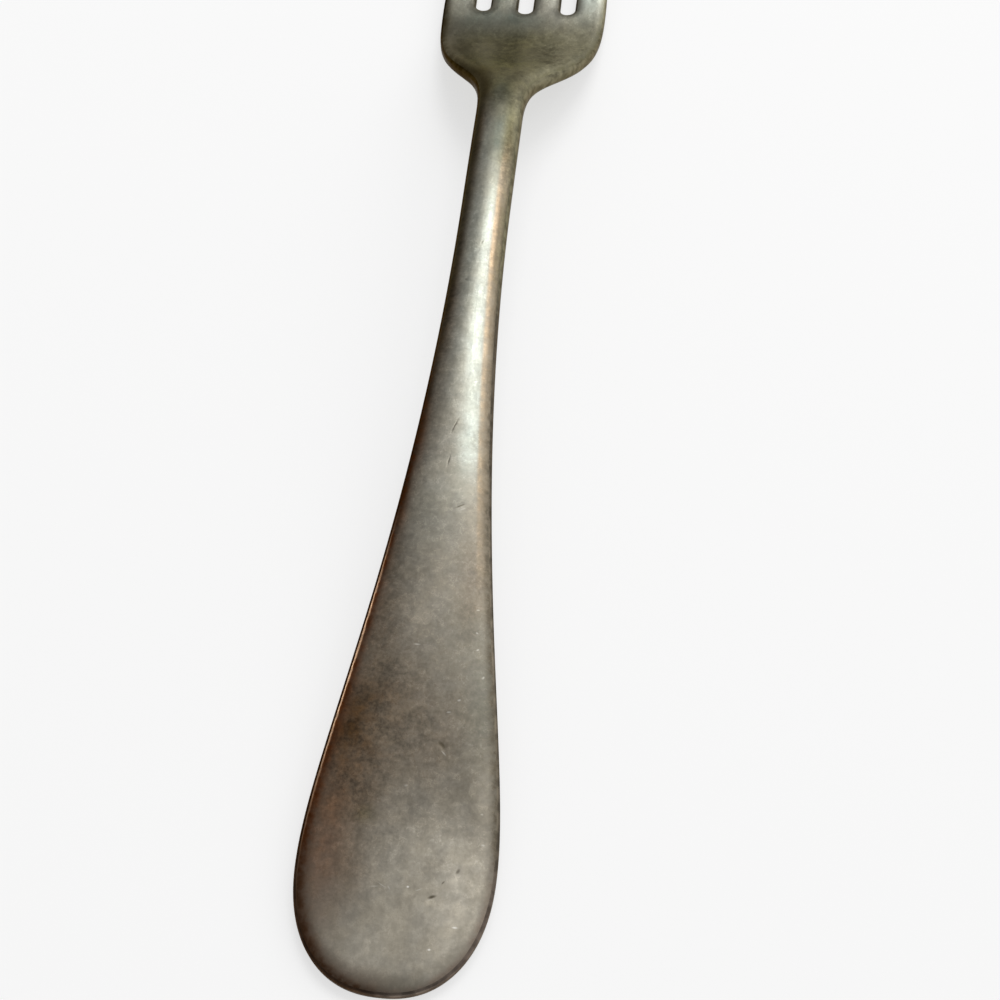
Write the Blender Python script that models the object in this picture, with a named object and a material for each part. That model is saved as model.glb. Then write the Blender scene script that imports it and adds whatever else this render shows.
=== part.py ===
"""Silver-plated dinner fork, lying face up on a table.

One stamped blank of base metal carries a silver skin on each face. Wear has bared the rim, so the
two skins end a little inside the outline and thin out there. Every surface is worked out over the
fork's plan: y runs from the handle end to the tine tips, x across, and z is the height.
"""

import bmesh
import bpy
import numpy as np

MM = 0.001

# Lengths along the fork, one after the other from the handle end
HANDLE_END_LENGTH = 14.0 * MM
HANDLE_TAPER_LENGTH = 87.6 * MM
STEM_LENGTH = 15.9 * MM
SHOULDER_LENGTH = 35.4 * MM
TINE_LENGTH = 47.1 * MM
TINE_POINT_LENGTH = 4.0 * MM

# Widths across the fork
HANDLE_WIDTH = 22.0 * MM
STEM_WIDTH = 6.6 * MM
PALM_WIDTH = 25.8 * MM
SLOT_WIDTH = 2.4 * MM
SLOT_PITCH = 6.8 * MM
TIP_SPREAD = 23.4 * MM
TINE_TIP_WIDTH = 2.2 * MM

# How far the outline runs straight on before it bends, at each end of its two curves
HANDLE_CURVE_LEAD = 13.7 * MM
HANDLE_CURVE_TAIL = 48.7 * MM
SHOULDER_CURVE_LEAD = 14.9 * MM
SHOULDER_CURVE_TAIL = 26.0 * MM
HANDLE_END_SQUARENESS = 2.3
POINT_SQUARENESS = 2.0
TINE_TAPER_POWER = 1.4

# Thicknesses, and the rounding of the edges
HANDLE_THICKNESS = 2.6 * MM
STEM_THICKNESS = 4.4 * MM
PALM_THICKNESS = 2.5 * MM
TINE_TIP_THICKNESS = 1.5 * MM
EDGE_WALL = 0.8 * MM
HANDLE_EDGE_ROLL = 2.4 * MM
HANDLE_FLAT_RUNOUT = 34.0 * MM
PALM_EDGE_ROLL = 1.7 * MM
TINE_TIP_EDGE_ROLL = 0.9 * MM
CROWN_RADIUS = 240.0 * MM

# Side profile: heights of the middle of the thickness, and slopes of its line
STEM_HEIGHT = 12.0 * MM
TIP_HEIGHT = 12.6 * MM
HANDLE_END_SLOPE = 0.05
STEM_SLOPE = 0.03
TIP_SLOPE = 0.38
HEEL_SETBACK = 3.4 * MM
PALM_DISH = 1.0 * MM
TIP_DISH = 0.9 * MM
REST_FLAT_DEPTH = 0.2 * MM

# Silver skin, and the bond line under it
RIM_WEAR = 0.35 * MM
PLATING_THICKNESS = 0.15 * MM
PLATING_EDGE_THICKNESS = 0.06 * MM
PLATING_FADE = 1.2 * MM
BOND_GAP = 0.05 * MM

# How finely the surfaces are divided and joined
END_ROWS = 6
HANDLE_ROWS = 12
STEM_ROWS = 3
SHOULDER_ROWS = 14
SLOT_ROWS = 3
TINE_ROWS = 10
POINT_ROWS = 4
COLUMN_SHARES = (0.0, 0.12, 0.35, 0.65, 0.88, 1.0)
CURVE_SAMPLES = 400
WELD_DISTANCE = 0.001 * MM
SHARP_ANGLE = np.radians(40.0)
LEAST_SHARE = 1e-6

# Stations along the fork that follow from those lengths
STEM_START = HANDLE_END_LENGTH + HANDLE_TAPER_LENGTH
STEM_END = STEM_START + STEM_LENGTH
PALM_STATION = STEM_END + SHOULDER_LENGTH
HEEL_STATION = PALM_STATION - HEEL_SETBACK
OVERALL_LENGTH = PALM_STATION + TINE_LENGTH
POINT_STATION = OVERALL_LENGTH - TINE_POINT_LENGTH
SLOT_BOTTOM = PALM_STATION - SLOT_WIDTH / 2

# Slots and tines, counted from the left
SLOT_CENTRES = np.array([-SLOT_PITCH, 0.0, SLOT_PITCH])
ROOT_LEFT = np.append(-PALM_WIDTH / 2, SLOT_CENTRES + SLOT_WIDTH / 2)
ROOT_RIGHT = np.append(SLOT_CENTRES - SLOT_WIDTH / 2, PALM_WIDTH / 2)
TIP_CENTRES = np.linspace(-0.5, 0.5, len(ROOT_LEFT)) * (TIP_SPREAD - TINE_TIP_WIDTH)


def ease(share):
    """Go from 0 to 1 with flat ends as the share does."""
    share = np.clip(share, 0.0, 1.0)
    return share * share * (3.0 - 2.0 * share)


def bezier(start, start_lead, end, end_tail):
    """Sample a curve that leaves its start and meets its end parallel to the fork's length."""
    t = np.linspace(0.0, 1.0, CURVE_SAMPLES)
    first = (start[0] + start_lead, start[1])
    second = (end[0] - end_tail, end[1])
    weights = ((1 - t) ** 3, 3 * (1 - t) ** 2 * t, 3 * (1 - t) * t ** 2, t ** 3)
    corners = (start, first, second, end)
    along = sum(weight * corner[0] for weight, corner in zip(weights, corners))
    across = sum(weight * corner[1] for weight, corner in zip(weights, corners))
    return along, across


def hermite(y, start, start_slope, end, end_slope):
    """Height of the cubic between two (y, z) points with the given slopes there."""
    run = end[0] - start[0]
    t = np.clip((y - start[0]) / run, 0.0, 1.0)
    level = start[1] + (end[1] - start[1]) * ease(t)
    bend = run * (start_slope * t * (1 - t) ** 2 - end_slope * t * t * (1 - t))
    return level + bend


def body_outline():
    """Sample the outline's half-width from the widest place of the handle to the tine roots."""
    taper = bezier((HANDLE_END_LENGTH, HANDLE_WIDTH / 2), HANDLE_CURVE_LEAD,
                   (STEM_START, STEM_WIDTH / 2), HANDLE_CURVE_TAIL)
    shoulder = bezier((STEM_END, STEM_WIDTH / 2), SHOULDER_CURVE_LEAD,
                      (PALM_STATION, PALM_WIDTH / 2), SHOULDER_CURVE_TAIL)
    return np.concatenate([taper[0], shoulder[0]]), np.concatenate([taper[1], shoulder[1]])


OUTLINE_Y, OUTLINE_W = body_outline()
OUTLINE_STRETCH = np.hypot(1.0, np.gradient(OUTLINE_W, OUTLINE_Y))


def body_half_width(y, inset):
    """Half-width of the handle, stem and palm at y, with the outline drawn in by the inset."""
    stretch = np.interp(y, OUTLINE_Y, OUTLINE_STRETCH)
    return np.interp(y, OUTLINE_Y, OUTLINE_W) - inset * stretch


def tine_edges(y, inset):
    """Left and right edge of every tine at each y, drawn in by the inset: two (tine, row) arrays."""
    share = np.clip((y - PALM_STATION) / (POINT_STATION - PALM_STATION), 0.0, 1.0) ** TINE_TAPER_POWER
    tip_left = TIP_CENTRES - TINE_TIP_WIDTH / 2
    tip_right = TIP_CENTRES + TINE_TIP_WIDTH / 2
    left = ROOT_LEFT[:, None] + (tip_left - ROOT_LEFT)[:, None] * share
    right = ROOT_RIGHT[:, None] + (tip_right - ROOT_RIGHT)[:, None] * share
    return left + inset, right - inset


def paired(left_x, left_y, right_x, right_y):
    """Stack edge points as a (tine, row, side, xy) array."""
    left_x, left_y, right_x, right_y = np.broadcast_arrays(left_x, left_y, right_x, right_y)
    left = np.stack([left_x, left_y], axis=-1)
    right = np.stack([right_x, right_y], axis=-1)
    return np.stack([left, right], axis=2)


def undivided_rows(half, y):
    """Edges of the four strips that will become the tines, where they are still one sheet."""
    slot_share = SLOT_CENTRES / (PALM_WIDTH / 2)
    bounds = np.concatenate([[-1.0], slot_share, [1.0]])[:, None] * half
    return paired(bounds[:-1], y, bounds[1:], y)


def handle_end_rows(inset):
    """Rows round the handle end, from its one end point to its widest place."""
    turn = np.linspace(0.0, np.pi / 2, END_ROWS + 1)
    power = 2.0 / HANDLE_END_SQUARENESS
    half = (HANDLE_WIDTH / 2 - inset) * np.sin(turn) ** power
    reach = np.clip(np.cos(turn), 0.0, 1.0) ** power
    return undivided_rows(half, HANDLE_END_LENGTH - (HANDLE_END_LENGTH - inset) * reach)


def body_rows(inset):
    """Rows along the handle, stem and shoulders, up to just short of the slots."""
    handle = np.linspace(HANDLE_END_LENGTH, STEM_START, HANDLE_ROWS + 1)[1:]
    stem = np.linspace(STEM_START, STEM_END, STEM_ROWS + 1)[1:]
    shoulder = np.linspace(STEM_END, SLOT_BOTTOM, SHOULDER_ROWS + 1)[1:-1]
    y = np.concatenate([handle, stem, shoulder])
    return undivided_rows(body_half_width(y, inset), y)


def slot_bottom_rows(inset):
    """Rows that part the strips round the half-round bottoms of the slots."""
    turn = np.linspace(0.0, np.pi / 2, SLOT_ROWS + 1)
    radius = SLOT_WIDTH / 2 + inset
    outer_y = PALM_STATION - SLOT_WIDTH / 2 * np.cos(turn)
    outer_x = body_half_width(outer_y, inset)
    slot_y = PALM_STATION - radius * np.cos(turn)
    slot_left = SLOT_CENTRES[:, None] - radius * np.sin(turn)
    slot_right = SLOT_CENTRES[:, None] + radius * np.sin(turn)
    slot_rise = np.repeat(slot_y[None], len(SLOT_CENTRES), axis=0)
    return paired(np.vstack([-outer_x, slot_right]), np.vstack([outer_y, slot_rise]),
                  np.vstack([slot_left, outer_x]), np.vstack([slot_rise, outer_y]))


def tine_rows(inset):
    """Rows along the tapering tines, up to where their points begin."""
    y = np.linspace(PALM_STATION, POINT_STATION, TINE_ROWS + 1)[1:]
    left, right = tine_edges(y, inset)
    return paired(left, y, right, y)


def point_rows(inset):
    """Rows round the point of each tine, down to its one end point."""
    turn = np.linspace(0.0, np.pi / 2, POINT_ROWS + 1)[1:]
    power = 2.0 / POINT_SQUARENESS
    half = (TINE_TIP_WIDTH / 2 - inset) * np.clip(np.cos(turn), 0.0, 1.0) ** power
    y = POINT_STATION + (TINE_POINT_LENGTH - inset) * np.sin(turn) ** power
    centre = TIP_CENTRES[:, None]
    return paired(centre - half, y, centre + half, y)


def strip_edges(inset):
    """Edges of the four strips along the whole fork, and the first row at which slots part them."""
    whole = np.concatenate([handle_end_rows(inset), body_rows(inset)], axis=1)
    parted = np.concatenate([slot_bottom_rows(inset), tine_rows(inset), point_rows(inset)], axis=1)
    return np.concatenate([whole, parted], axis=1), whole.shape[1]


def oval_distance(across, along, half_width, length, squareness):
    """Distance to the edge of an oval quarter, from how far out towards it the point lies."""
    across = across / half_width
    along = np.clip(along, 0.0, None) / length
    reach = np.maximum((across ** squareness + along ** squareness) ** (1 / squareness), LEAST_SHARE)
    slope_across = (across / reach) ** (squareness - 1) / half_width
    slope_along = (along / reach) ** (squareness - 1) / length
    slope = np.maximum(np.hypot(slope_across, slope_along), 1 / max(half_width, length))
    return (1.0 - reach) / slope


def handle_end_distance(x, y):
    """Distance to the round handle end."""
    return oval_distance(np.abs(x), HANDLE_END_LENGTH - y,
                         HANDLE_WIDTH / 2, HANDLE_END_LENGTH, HANDLE_END_SQUARENESS)


def point_distance(x, y):
    """Distance to the rounded point of the nearest tine."""
    off_centre = np.abs(x[:, None] - TIP_CENTRES).min(axis=1)
    return oval_distance(off_centre, y - POINT_STATION,
                         TINE_TIP_WIDTH / 2, TINE_POINT_LENGTH, POINT_SQUARENESS)


def edge_distance(x, y):
    """Distance in plan from points inside the outline to the nearest edge."""
    stretch = np.interp(y, OUTLINE_Y, OUTLINE_STRETCH)
    body = (body_half_width(y, 0.0) - np.abs(x)) / stretch
    slots = np.hypot(x[:, None] - SLOT_CENTRES, (y - PALM_STATION)[:, None]).min(axis=1) - SLOT_WIDTH / 2
    left, right = tine_edges(y, 0.0)
    tines = np.minimum(x - left, right - x).max(axis=0)
    distance = np.minimum(body, slots)
    distance = np.where(y < HANDLE_END_LENGTH, handle_end_distance(x, y), distance)
    distance = np.where(y >= PALM_STATION, tines, distance)
    distance = np.where(y > POINT_STATION, point_distance(x, y), distance)
    return np.maximum(distance, 0.0)


def along_fork(y, handle, stem, palm, tip):
    """Ease a size from the handle to the stem, on to the palm and out to the tine tips."""
    to_stem = ease((y - HANDLE_END_LENGTH) / HANDLE_TAPER_LENGTH)
    to_palm = ease((y - STEM_END) / SHOULDER_LENGTH)
    to_tip = ease((y - PALM_STATION) / TINE_LENGTH)
    return handle + (stem - handle) * to_stem + (palm - stem) * to_palm + (tip - palm) * to_tip


def edge_roll(y):
    """Width of the rounded edge: it grows from the handle's flat to a full oval, and narrows to the tines."""
    oval = body_half_width(np.minimum(y, STEM_END), 0.0)
    to_oval = ease((y - HANDLE_END_LENGTH) / HANDLE_FLAT_RUNOUT)
    to_palm = ease((y - STEM_END) / SHOULDER_LENGTH)
    to_tip = ease((y - PALM_STATION) / TINE_LENGTH)
    body = HANDLE_EDGE_ROLL + (oval - HANDLE_EDGE_ROLL) * to_oval
    body = body + (PALM_EDGE_ROLL - body) * to_palm
    left, right = tine_edges(y, 0.0)
    tine = PALM_EDGE_ROLL + (TINE_TIP_EDGE_ROLL - PALM_EDGE_ROLL) * to_tip
    tine = np.minimum(tine, (right - left).min(axis=0) / 2)
    return np.where(y < PALM_STATION, body, tine)


def half_thickness(x, y):
    """Half the fork's thickness: full inside, and rolled off as a quarter oval to the edge wall."""
    full = along_fork(y, HANDLE_THICKNESS, STEM_THICKNESS, PALM_THICKNESS, TINE_TIP_THICKNESS) / 2
    full = full - x * x / (2 * CROWN_RADIUS)
    short_of_full = np.clip(1.0 - edge_distance(x, y) / edge_roll(y), 0.0, 1.0)
    wall = EDGE_WALL / 2
    return wall + (full - wall) * np.sqrt(1.0 - short_of_full ** 2)


def handle_end_height():
    """Height of the handle's end that brings its back down to the table, by the rest flat's depth."""
    y = np.linspace(0.0, HANDLE_END_LENGTH, CURVE_SAMPLES)
    lowest = (HANDLE_END_SLOPE * y - half_thickness(np.zeros_like(y), y)).min()
    return -REST_FLAT_DEPTH - lowest


def middle_height(x, y):
    """Height of the middle of the thickness: the side profile's line, plus the dish of the palm."""
    end = (0.0, handle_end_height())
    crank = (STEM_END, STEM_HEIGHT)
    heel = (HEEL_STATION, PALM_THICKNESS / 2 - REST_FLAT_DEPTH)
    tip = (OVERALL_LENGTH, TIP_HEIGHT)
    line = np.where(y < STEM_END, hermite(y, end, HANDLE_END_SLOPE, crank, STEM_SLOPE),
                    np.where(y < HEEL_STATION, hermite(y, crank, STEM_SLOPE, heel, 0.0),
                             hermite(y, heel, 0.0, tip, TIP_SLOPE)))
    dish = along_fork(y, 0.0, 0.0, PALM_DISH, TIP_DISH)
    return line + dish * (x / (PALM_WIDTH / 2)) ** 2


def face_height(x, y):
    """Height of the finished face side."""
    return middle_height(x, y) + half_thickness(x, y)


def back_height(x, y):
    """Height of the finished back, worn flat where it meets the table."""
    return np.maximum(middle_height(x, y) - half_thickness(x, y), 0.0)


def plating_depth(x, y):
    """Thickness of the silver, which fades towards the worn rim."""
    fade = ease((edge_distance(x, y) - RIM_WEAR) / PLATING_FADE)
    return PLATING_EDGE_THICKNESS + (PLATING_THICKNESS - PLATING_EDGE_THICKNESS) * fade


def lay_strip(sheet, points):
    """Lay a grid of quads over a (row, column, xy) array of plan points."""
    rows, columns = points.shape[:2]
    grid = bmesh.ops.create_grid(sheet, x_segments=columns - 1, y_segments=rows - 1, size=HANDLE_WIDTH)
    for vert, (x, y) in zip(grid["verts"], points.reshape(-1, 2)):
        vert.co = (x, y, 0.0)


def weld_and_triangulate(sheet):
    """Join the strips where their points meet, and settle the diagonals of the quads."""
    bmesh.ops.remove_doubles(sheet, verts=sheet.verts[:], dist=WELD_DISTANCE)
    bmesh.ops.triangulate(sheet, faces=sheet.faces[:])


def plated_sheet():
    """Flat sheet of the plan inside the worn rim, where silver is left."""
    sheet = bmesh.new()
    edges, _ = strip_edges(RIM_WEAR)
    shares = np.array(COLUMN_SHARES)[:, None]
    for tine in edges:
        left, right = tine[:, 0, None], tine[:, 1, None]
        lay_strip(sheet, left + (right - left) * shares)
    weld_and_triangulate(sheet)
    return sheet


def blank_sheet():
    """Flat sheet of the whole plan: the plated part, with the worn rim laid round it."""
    sheet = plated_sheet()
    inner, parted = strip_edges(RIM_WEAR)
    outer, _ = strip_edges(0.0)
    last = len(outer) - 1
    for tine in range(len(outer)):
        first_left = 0 if tine == 0 else parted
        first_right = 0 if tine == last else parted
        lay_strip(sheet, np.stack([outer[tine, first_left:, 0], inner[tine, first_left:, 0]], axis=1))
        lay_strip(sheet, np.stack([inner[tine, first_right:, 1], outer[tine, first_right:, 1]], axis=1))
    weld_and_triangulate(sheet)
    return sheet


def thicken(sheet, upper, lower):
    """Make a flat sheet a solid between an upper and a lower surface."""
    under = sheet.verts[:]
    extruded = bmesh.ops.extrude_face_region(sheet, geom=sheet.faces[:])
    over = [item for item in extruded["geom"] if isinstance(item, bmesh.types.BMVert)]
    for verts, height in ((over, upper), (under, lower)):
        plan = np.array([vert.co[:2] for vert in verts])
        for vert, z in zip(verts, height(plan[:, 0], plan[:, 1])):
            vert.co.z = z
    bmesh.ops.recalc_face_normals(sheet, faces=sheet.faces[:])


def add_object(name, solid, collection, material, parent):
    """Put a finished solid into the scene as a named object with its own material."""
    mesh = bpy.data.meshes.new(name)
    solid.to_mesh(mesh)
    solid.free()
    mesh.shade_smooth()
    mesh.set_sharp_from_angle(angle=SHARP_ANGLE)
    mesh.materials.append(material)
    piece = bpy.data.objects.new(name, mesh)
    collection.objects.link(piece)
    piece.parent = parent
    return piece


def metal(name, colour, roughness):
    """A bare metal of the given colour."""
    material = bpy.data.materials.new(name)
    material.use_nodes = True
    shader = material.node_tree.nodes["Principled BSDF"]
    shader.inputs["Base Color"].default_value = (*colour, 1.0)
    shader.inputs["Roughness"].default_value = roughness
    shader.inputs["Metallic"].default_value = 1.0
    return material


def base_metal_blank(collection, parent):
    """The stamped blank: handle, stem, dished palm and four tines in one piece of base metal."""
    solid = blank_sheet()
    thicken(solid,
            lambda x, y: face_height(x, y) - plating_depth(x, y) - BOND_GAP,
            lambda x, y: back_height(x, y) + plating_depth(x, y) + BOND_GAP)
    brass = metal("worn_base_metal", (0.52, 0.33, 0.19), 0.36)
    return add_object("base_metal_blank", solid, collection, brass, parent)


def face_silver_plating(collection, parent):
    """The silver that is left on the face."""
    solid = plated_sheet()
    thicken(solid, face_height, lambda x, y: face_height(x, y) - plating_depth(x, y))
    silver = metal("tarnished_face_silver", (0.42, 0.39, 0.33), 0.38)
    return add_object("face_silver_plating", solid, collection, silver, parent)


def back_silver_plating(collection, parent):
    """The silver that is left on the back, flat where it rests on the table."""
    solid = plated_sheet()
    thicken(solid, lambda x, y: back_height(x, y) + plating_depth(x, y), back_height)
    silver = metal("tarnished_back_silver", (0.45, 0.42, 0.36), 0.36)
    return add_object("back_silver_plating", solid, collection, silver, parent)


def main():
    """Build the fork with its origin on the table, under the middle of its length."""
    for leftover in list(bpy.data.objects):
        bpy.data.objects.remove(leftover)
    collection = bpy.data.collections.new("dinner_fork")
    bpy.context.scene.collection.children.link(collection)
    fork = bpy.data.objects.new("fork_middle", None)
    fork.location = (0.0, -OVERALL_LENGTH / 2, 0.0)
    collection.objects.link(fork)
    base_metal_blank(collection, fork)
    face_silver_plating(collection, fork)
    back_silver_plating(collection, fork)


main()
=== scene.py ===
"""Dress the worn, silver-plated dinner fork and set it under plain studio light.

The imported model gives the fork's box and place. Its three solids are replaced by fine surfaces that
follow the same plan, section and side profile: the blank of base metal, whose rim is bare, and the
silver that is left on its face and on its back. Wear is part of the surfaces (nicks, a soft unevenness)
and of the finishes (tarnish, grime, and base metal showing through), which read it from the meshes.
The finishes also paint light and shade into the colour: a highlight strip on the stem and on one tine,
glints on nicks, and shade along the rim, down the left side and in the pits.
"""

from __future__ import annotations

import logging
import math
from dataclasses import astuple, dataclass, replace
from enum import Enum
from functools import cached_property
from typing import Any

import bpy
import numpy as np
from mathutils import Matrix, Vector


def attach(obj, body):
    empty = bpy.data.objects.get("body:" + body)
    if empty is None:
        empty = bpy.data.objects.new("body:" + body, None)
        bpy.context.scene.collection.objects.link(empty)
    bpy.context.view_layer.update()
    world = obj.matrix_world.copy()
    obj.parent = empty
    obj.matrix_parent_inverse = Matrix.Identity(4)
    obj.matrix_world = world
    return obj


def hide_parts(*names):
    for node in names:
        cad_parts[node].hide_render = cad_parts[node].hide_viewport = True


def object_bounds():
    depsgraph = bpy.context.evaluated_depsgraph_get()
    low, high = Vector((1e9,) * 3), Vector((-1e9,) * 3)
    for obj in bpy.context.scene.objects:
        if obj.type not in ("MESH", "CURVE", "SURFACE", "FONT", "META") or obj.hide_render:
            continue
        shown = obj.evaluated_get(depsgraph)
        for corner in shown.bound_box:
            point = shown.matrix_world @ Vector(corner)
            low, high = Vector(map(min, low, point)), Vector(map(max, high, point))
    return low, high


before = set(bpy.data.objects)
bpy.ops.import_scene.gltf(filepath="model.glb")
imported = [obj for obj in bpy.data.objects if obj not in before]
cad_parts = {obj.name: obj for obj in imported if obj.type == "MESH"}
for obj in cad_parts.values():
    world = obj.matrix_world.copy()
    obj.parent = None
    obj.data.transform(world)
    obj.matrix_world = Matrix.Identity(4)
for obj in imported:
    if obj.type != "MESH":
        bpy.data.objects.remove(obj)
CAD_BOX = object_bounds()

MM = 0.001
BODY = "root"
CURVE_SAMPLES = 2000
LEAST_SHARE = 1e-6
# A point's place in plan is one whole number: its steps along y, plus a span of steps for each one along x.
PLACE_UNIT = 1e-8
PLACE_SPAN = 2 ** 26
SHARP_ANGLE = math.radians(40.0)
# The blank and the back are seen less, so they have fewer rows and columns than the face.
PLAIN_ROWS = 0.8
PLAIN_COLUMNS = 24
BACK_SHIFT = 0.37
NOISE_SPREAD = (0.33, 0.67)
HAIR_WIDTH = 0.03
BUMP_DISTANCE = 0.02 * MM

Array = np.ndarray
Span = tuple[float, float]
Colour = tuple[float, float, float]

log = logging.getLogger("dinner_fork")


class Side(Enum):
    """A side of the fork, with the way that it looks along z."""

    FACE = 1.0
    BACK = -1.0


def ease(share: Array) -> Array:
    """Go from 0 to 1 with flat ends: 3 s^2 - 2 s^3 of the share s, held between 0 and 1."""
    share = np.clip(share, 0.0, 1.0)
    return share * share * (3.0 - 2.0 * share)


def hermite(y: Array, start: Span, start_slope: float, end: Span, end_slope: float) -> Array:
    """Height of the cubic between two (y, z) points that leaves and meets them at the given slopes.

    Args:
        y: Places along the fork, held between the two points.
        start: First point.
        start_slope: Slope at the first point.
        end: Second point.
        end_slope: Slope at the second point.

    Returns:
        The cubic's height at each place.
    """
    run = end[0] - start[0]
    t = np.clip((y - start[0]) / run, 0.0, 1.0)
    level = start[1] + (end[1] - start[1]) * ease(t)
    return level + run * (start_slope * t * (1 - t) ** 2 - end_slope * t * t * (1 - t))


def oval_distance(across: Array, along: Array, half_width: float, length: float, squareness: float) -> Array:
    """Distance to the edge of an oval quarter: what its reach falls short of 1, over the reach's slope.

    Args:
        across: How far each point lies off the oval's middle line, 0 or more.
        along: How far it lies out towards the oval's end.
        half_width: Half the oval's width.
        length: Length of the quarter.
        squareness: Power of the oval, 2 for an ellipse.

    Returns:
        The distance of each point to the edge.
    """
    across = across / half_width
    along = np.clip(along, 0.0, None) / length
    reach = np.maximum((across ** squareness + along ** squareness) ** (1 / squareness), LEAST_SHARE)
    slope_across = (across / reach) ** (squareness - 1) / half_width
    slope_along = (along / reach) ** (squareness - 1) / length
    slope = np.maximum(np.hypot(slope_across, slope_along), 1 / max(half_width, length))
    return (1.0 - reach) / slope


@dataclass(frozen=True)
class ForkPlan:
    """The fork seen from above, in metres: y runs from the handle end, x across.

    The overall length and the palm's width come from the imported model. The other lengths follow one
    another from the handle end, and the tines take what is left.
    """

    length: float
    palm_width: float
    end_length: float = 14.0 * MM
    taper_length: float = 87.6 * MM
    stem_length: float = 15.9 * MM
    shoulder_length: float = 35.4 * MM
    point_length: float = 4.0 * MM
    handle_width: float = 22.0 * MM
    stem_width: float = 6.6 * MM
    slot_width: float = 2.4 * MM
    slot_pitch: float = 6.8 * MM
    tip_spread: float = 23.4 * MM
    tip_width: float = 2.2 * MM
    taper_lead: float = 13.7 * MM
    taper_tail: float = 48.7 * MM
    shoulder_lead: float = 14.9 * MM
    shoulder_tail: float = 26.0 * MM
    end_squareness: float = 2.3
    point_squareness: float = 2.0
    tine_taper_power: float = 1.4

    @property
    def stem_start(self) -> float:
        """Where the handle has narrowed to the stem."""
        return self.end_length + self.taper_length

    @property
    def stem_end(self) -> float:
        """Where the stem begins to widen to the palm."""
        return self.stem_start + self.stem_length

    @property
    def palm_station(self) -> float:
        """Where the palm has its full width and the tines begin."""
        return self.stem_end + self.shoulder_length

    @property
    def tine_length(self) -> float:
        """What is left of the fork's length for the tines."""
        return self.length - self.palm_station

    @property
    def point_station(self) -> float:
        """Where the points of the tines begin."""
        return self.length - self.point_length

    @property
    def slot_bottom(self) -> float:
        """The lowest place of the slots between the tines."""
        return self.palm_station - self.slot_width / 2

    @cached_property
    def slot_centres(self) -> Array:
        """Middle lines of the three slots, from the left."""
        return np.array([-self.slot_pitch, 0.0, self.slot_pitch])

    @cached_property
    def root_left(self) -> Array:
        """Left edge of each tine at its root."""
        return np.append(-self.palm_width / 2, self.slot_centres + self.slot_width / 2)

    @cached_property
    def root_right(self) -> Array:
        """Right edge of each tine at its root."""
        return np.append(self.slot_centres - self.slot_width / 2, self.palm_width / 2)

    @cached_property
    def tip_centres(self) -> Array:
        """Middle line of each tine at its tip."""
        return np.linspace(-0.5, 0.5, len(self.root_left)) * (self.tip_spread - self.tip_width)

    def bend(self, start: Span, lead: float, end: Span, tail: float) -> Array:
        """Sample a cubic Bezier curve that leaves its start and meets its end parallel to the fork.

        Args:
            start: First (y, half-width) point.
            lead: How far the curve's first handle reaches on.
            end: Last (y, half-width) point.
            tail: How far the curve's second handle reaches back.

        Returns:
            The samples, as a row of y and a row of half-widths.
        """
        t = np.linspace(0.0, 1.0, CURVE_SAMPLES)
        weights = np.stack([(1 - t) ** 3, 3 * (1 - t) ** 2 * t, 3 * (1 - t) * t ** 2, t ** 3])
        corners = np.array([start, (start[0] + lead, start[1]), (end[0] - tail, end[1]), end])
        return corners.T @ weights

    @cached_property
    def outline(self) -> Array:
        """Follow the edge from the widest place of the handle to the tine roots.

        Returns:
            Rows of y, half-width and stretch. The stretch is how much longer the edge is than its run
            along y, the root of 1 + slope^2.
        """
        taper = self.bend((self.end_length, self.handle_width / 2), self.taper_lead,
                          (self.stem_start, self.stem_width / 2), self.taper_tail)
        shoulder = self.bend((self.stem_end, self.stem_width / 2), self.shoulder_lead,
                             (self.palm_station, self.palm_width / 2), self.shoulder_tail)
        y, half = np.concatenate([taper, shoulder], axis=1)
        return np.stack([y, half, np.hypot(1.0, np.gradient(half, y))])

    def stretch(self, y: Array) -> Array:
        """Stretch of the outline at y."""
        return np.interp(y, self.outline[0], self.outline[2])

    def half_width(self, y: Array, inset: float = 0.0) -> Array:
        """Half-width of the handle, stem and palm at y, with the outline drawn in by the inset."""
        return np.interp(y, self.outline[0], self.outline[1]) - inset * self.stretch(y)

    def tine_edges(self, y: Array, inset: float = 0.0) -> tuple[Array, Array]:
        """Edges of every tine at y, carried from root to tip by a power of the share of the way.

        Args:
            y: Places along the fork.
            inset: How far the edges are drawn in.

        Returns:
            The left and the right edges, each as a (tine, place) array.
        """
        share = (y - self.palm_station) / (self.point_station - self.palm_station)
        share = np.clip(share, 0.0, 1.0) ** self.tine_taper_power
        tip_left = self.tip_centres - self.tip_width / 2
        tip_right = self.tip_centres + self.tip_width / 2
        left = self.root_left[:, None] + (tip_left - self.root_left)[:, None] * share
        right = self.root_right[:, None] + (tip_right - self.root_right)[:, None] * share
        return left + inset, right - inset

    def edge_distance(self, x: Array, y: Array) -> Array:
        """Distance in plan from points inside the outline to the nearest edge.

        It is the least of the distances to the outer edge and to the slots' round bottoms, or to the
        tine's own edges beyond them; the handle end and the points are oval.

        Args:
            x: Places across the fork.
            y: Places along the fork.

        Returns:
            The distance of each point, 0 on the edge.
        """
        body = (self.half_width(y) - np.abs(x)) / self.stretch(y)
        slots = np.hypot(x[:, None] - self.slot_centres, (y - self.palm_station)[:, None]).min(axis=1)
        left, right = self.tine_edges(y)
        tines = np.minimum(x - left, right - x).max(axis=0)
        off_tine = np.abs(x[:, None] - self.tip_centres).min(axis=1)
        end = oval_distance(np.abs(x), self.end_length - y,
                            self.handle_width / 2, self.end_length, self.end_squareness)
        points = oval_distance(off_tine, y - self.point_station,
                               self.tip_width / 2, self.point_length, self.point_squareness)
        distance = np.minimum(body, slots - self.slot_width / 2)
        distance = np.where(y < self.end_length, end, distance)
        distance = np.where(y >= self.palm_station, tines, distance)
        distance = np.where(y > self.point_station, points, distance)
        return np.maximum(distance, 0.0)

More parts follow.
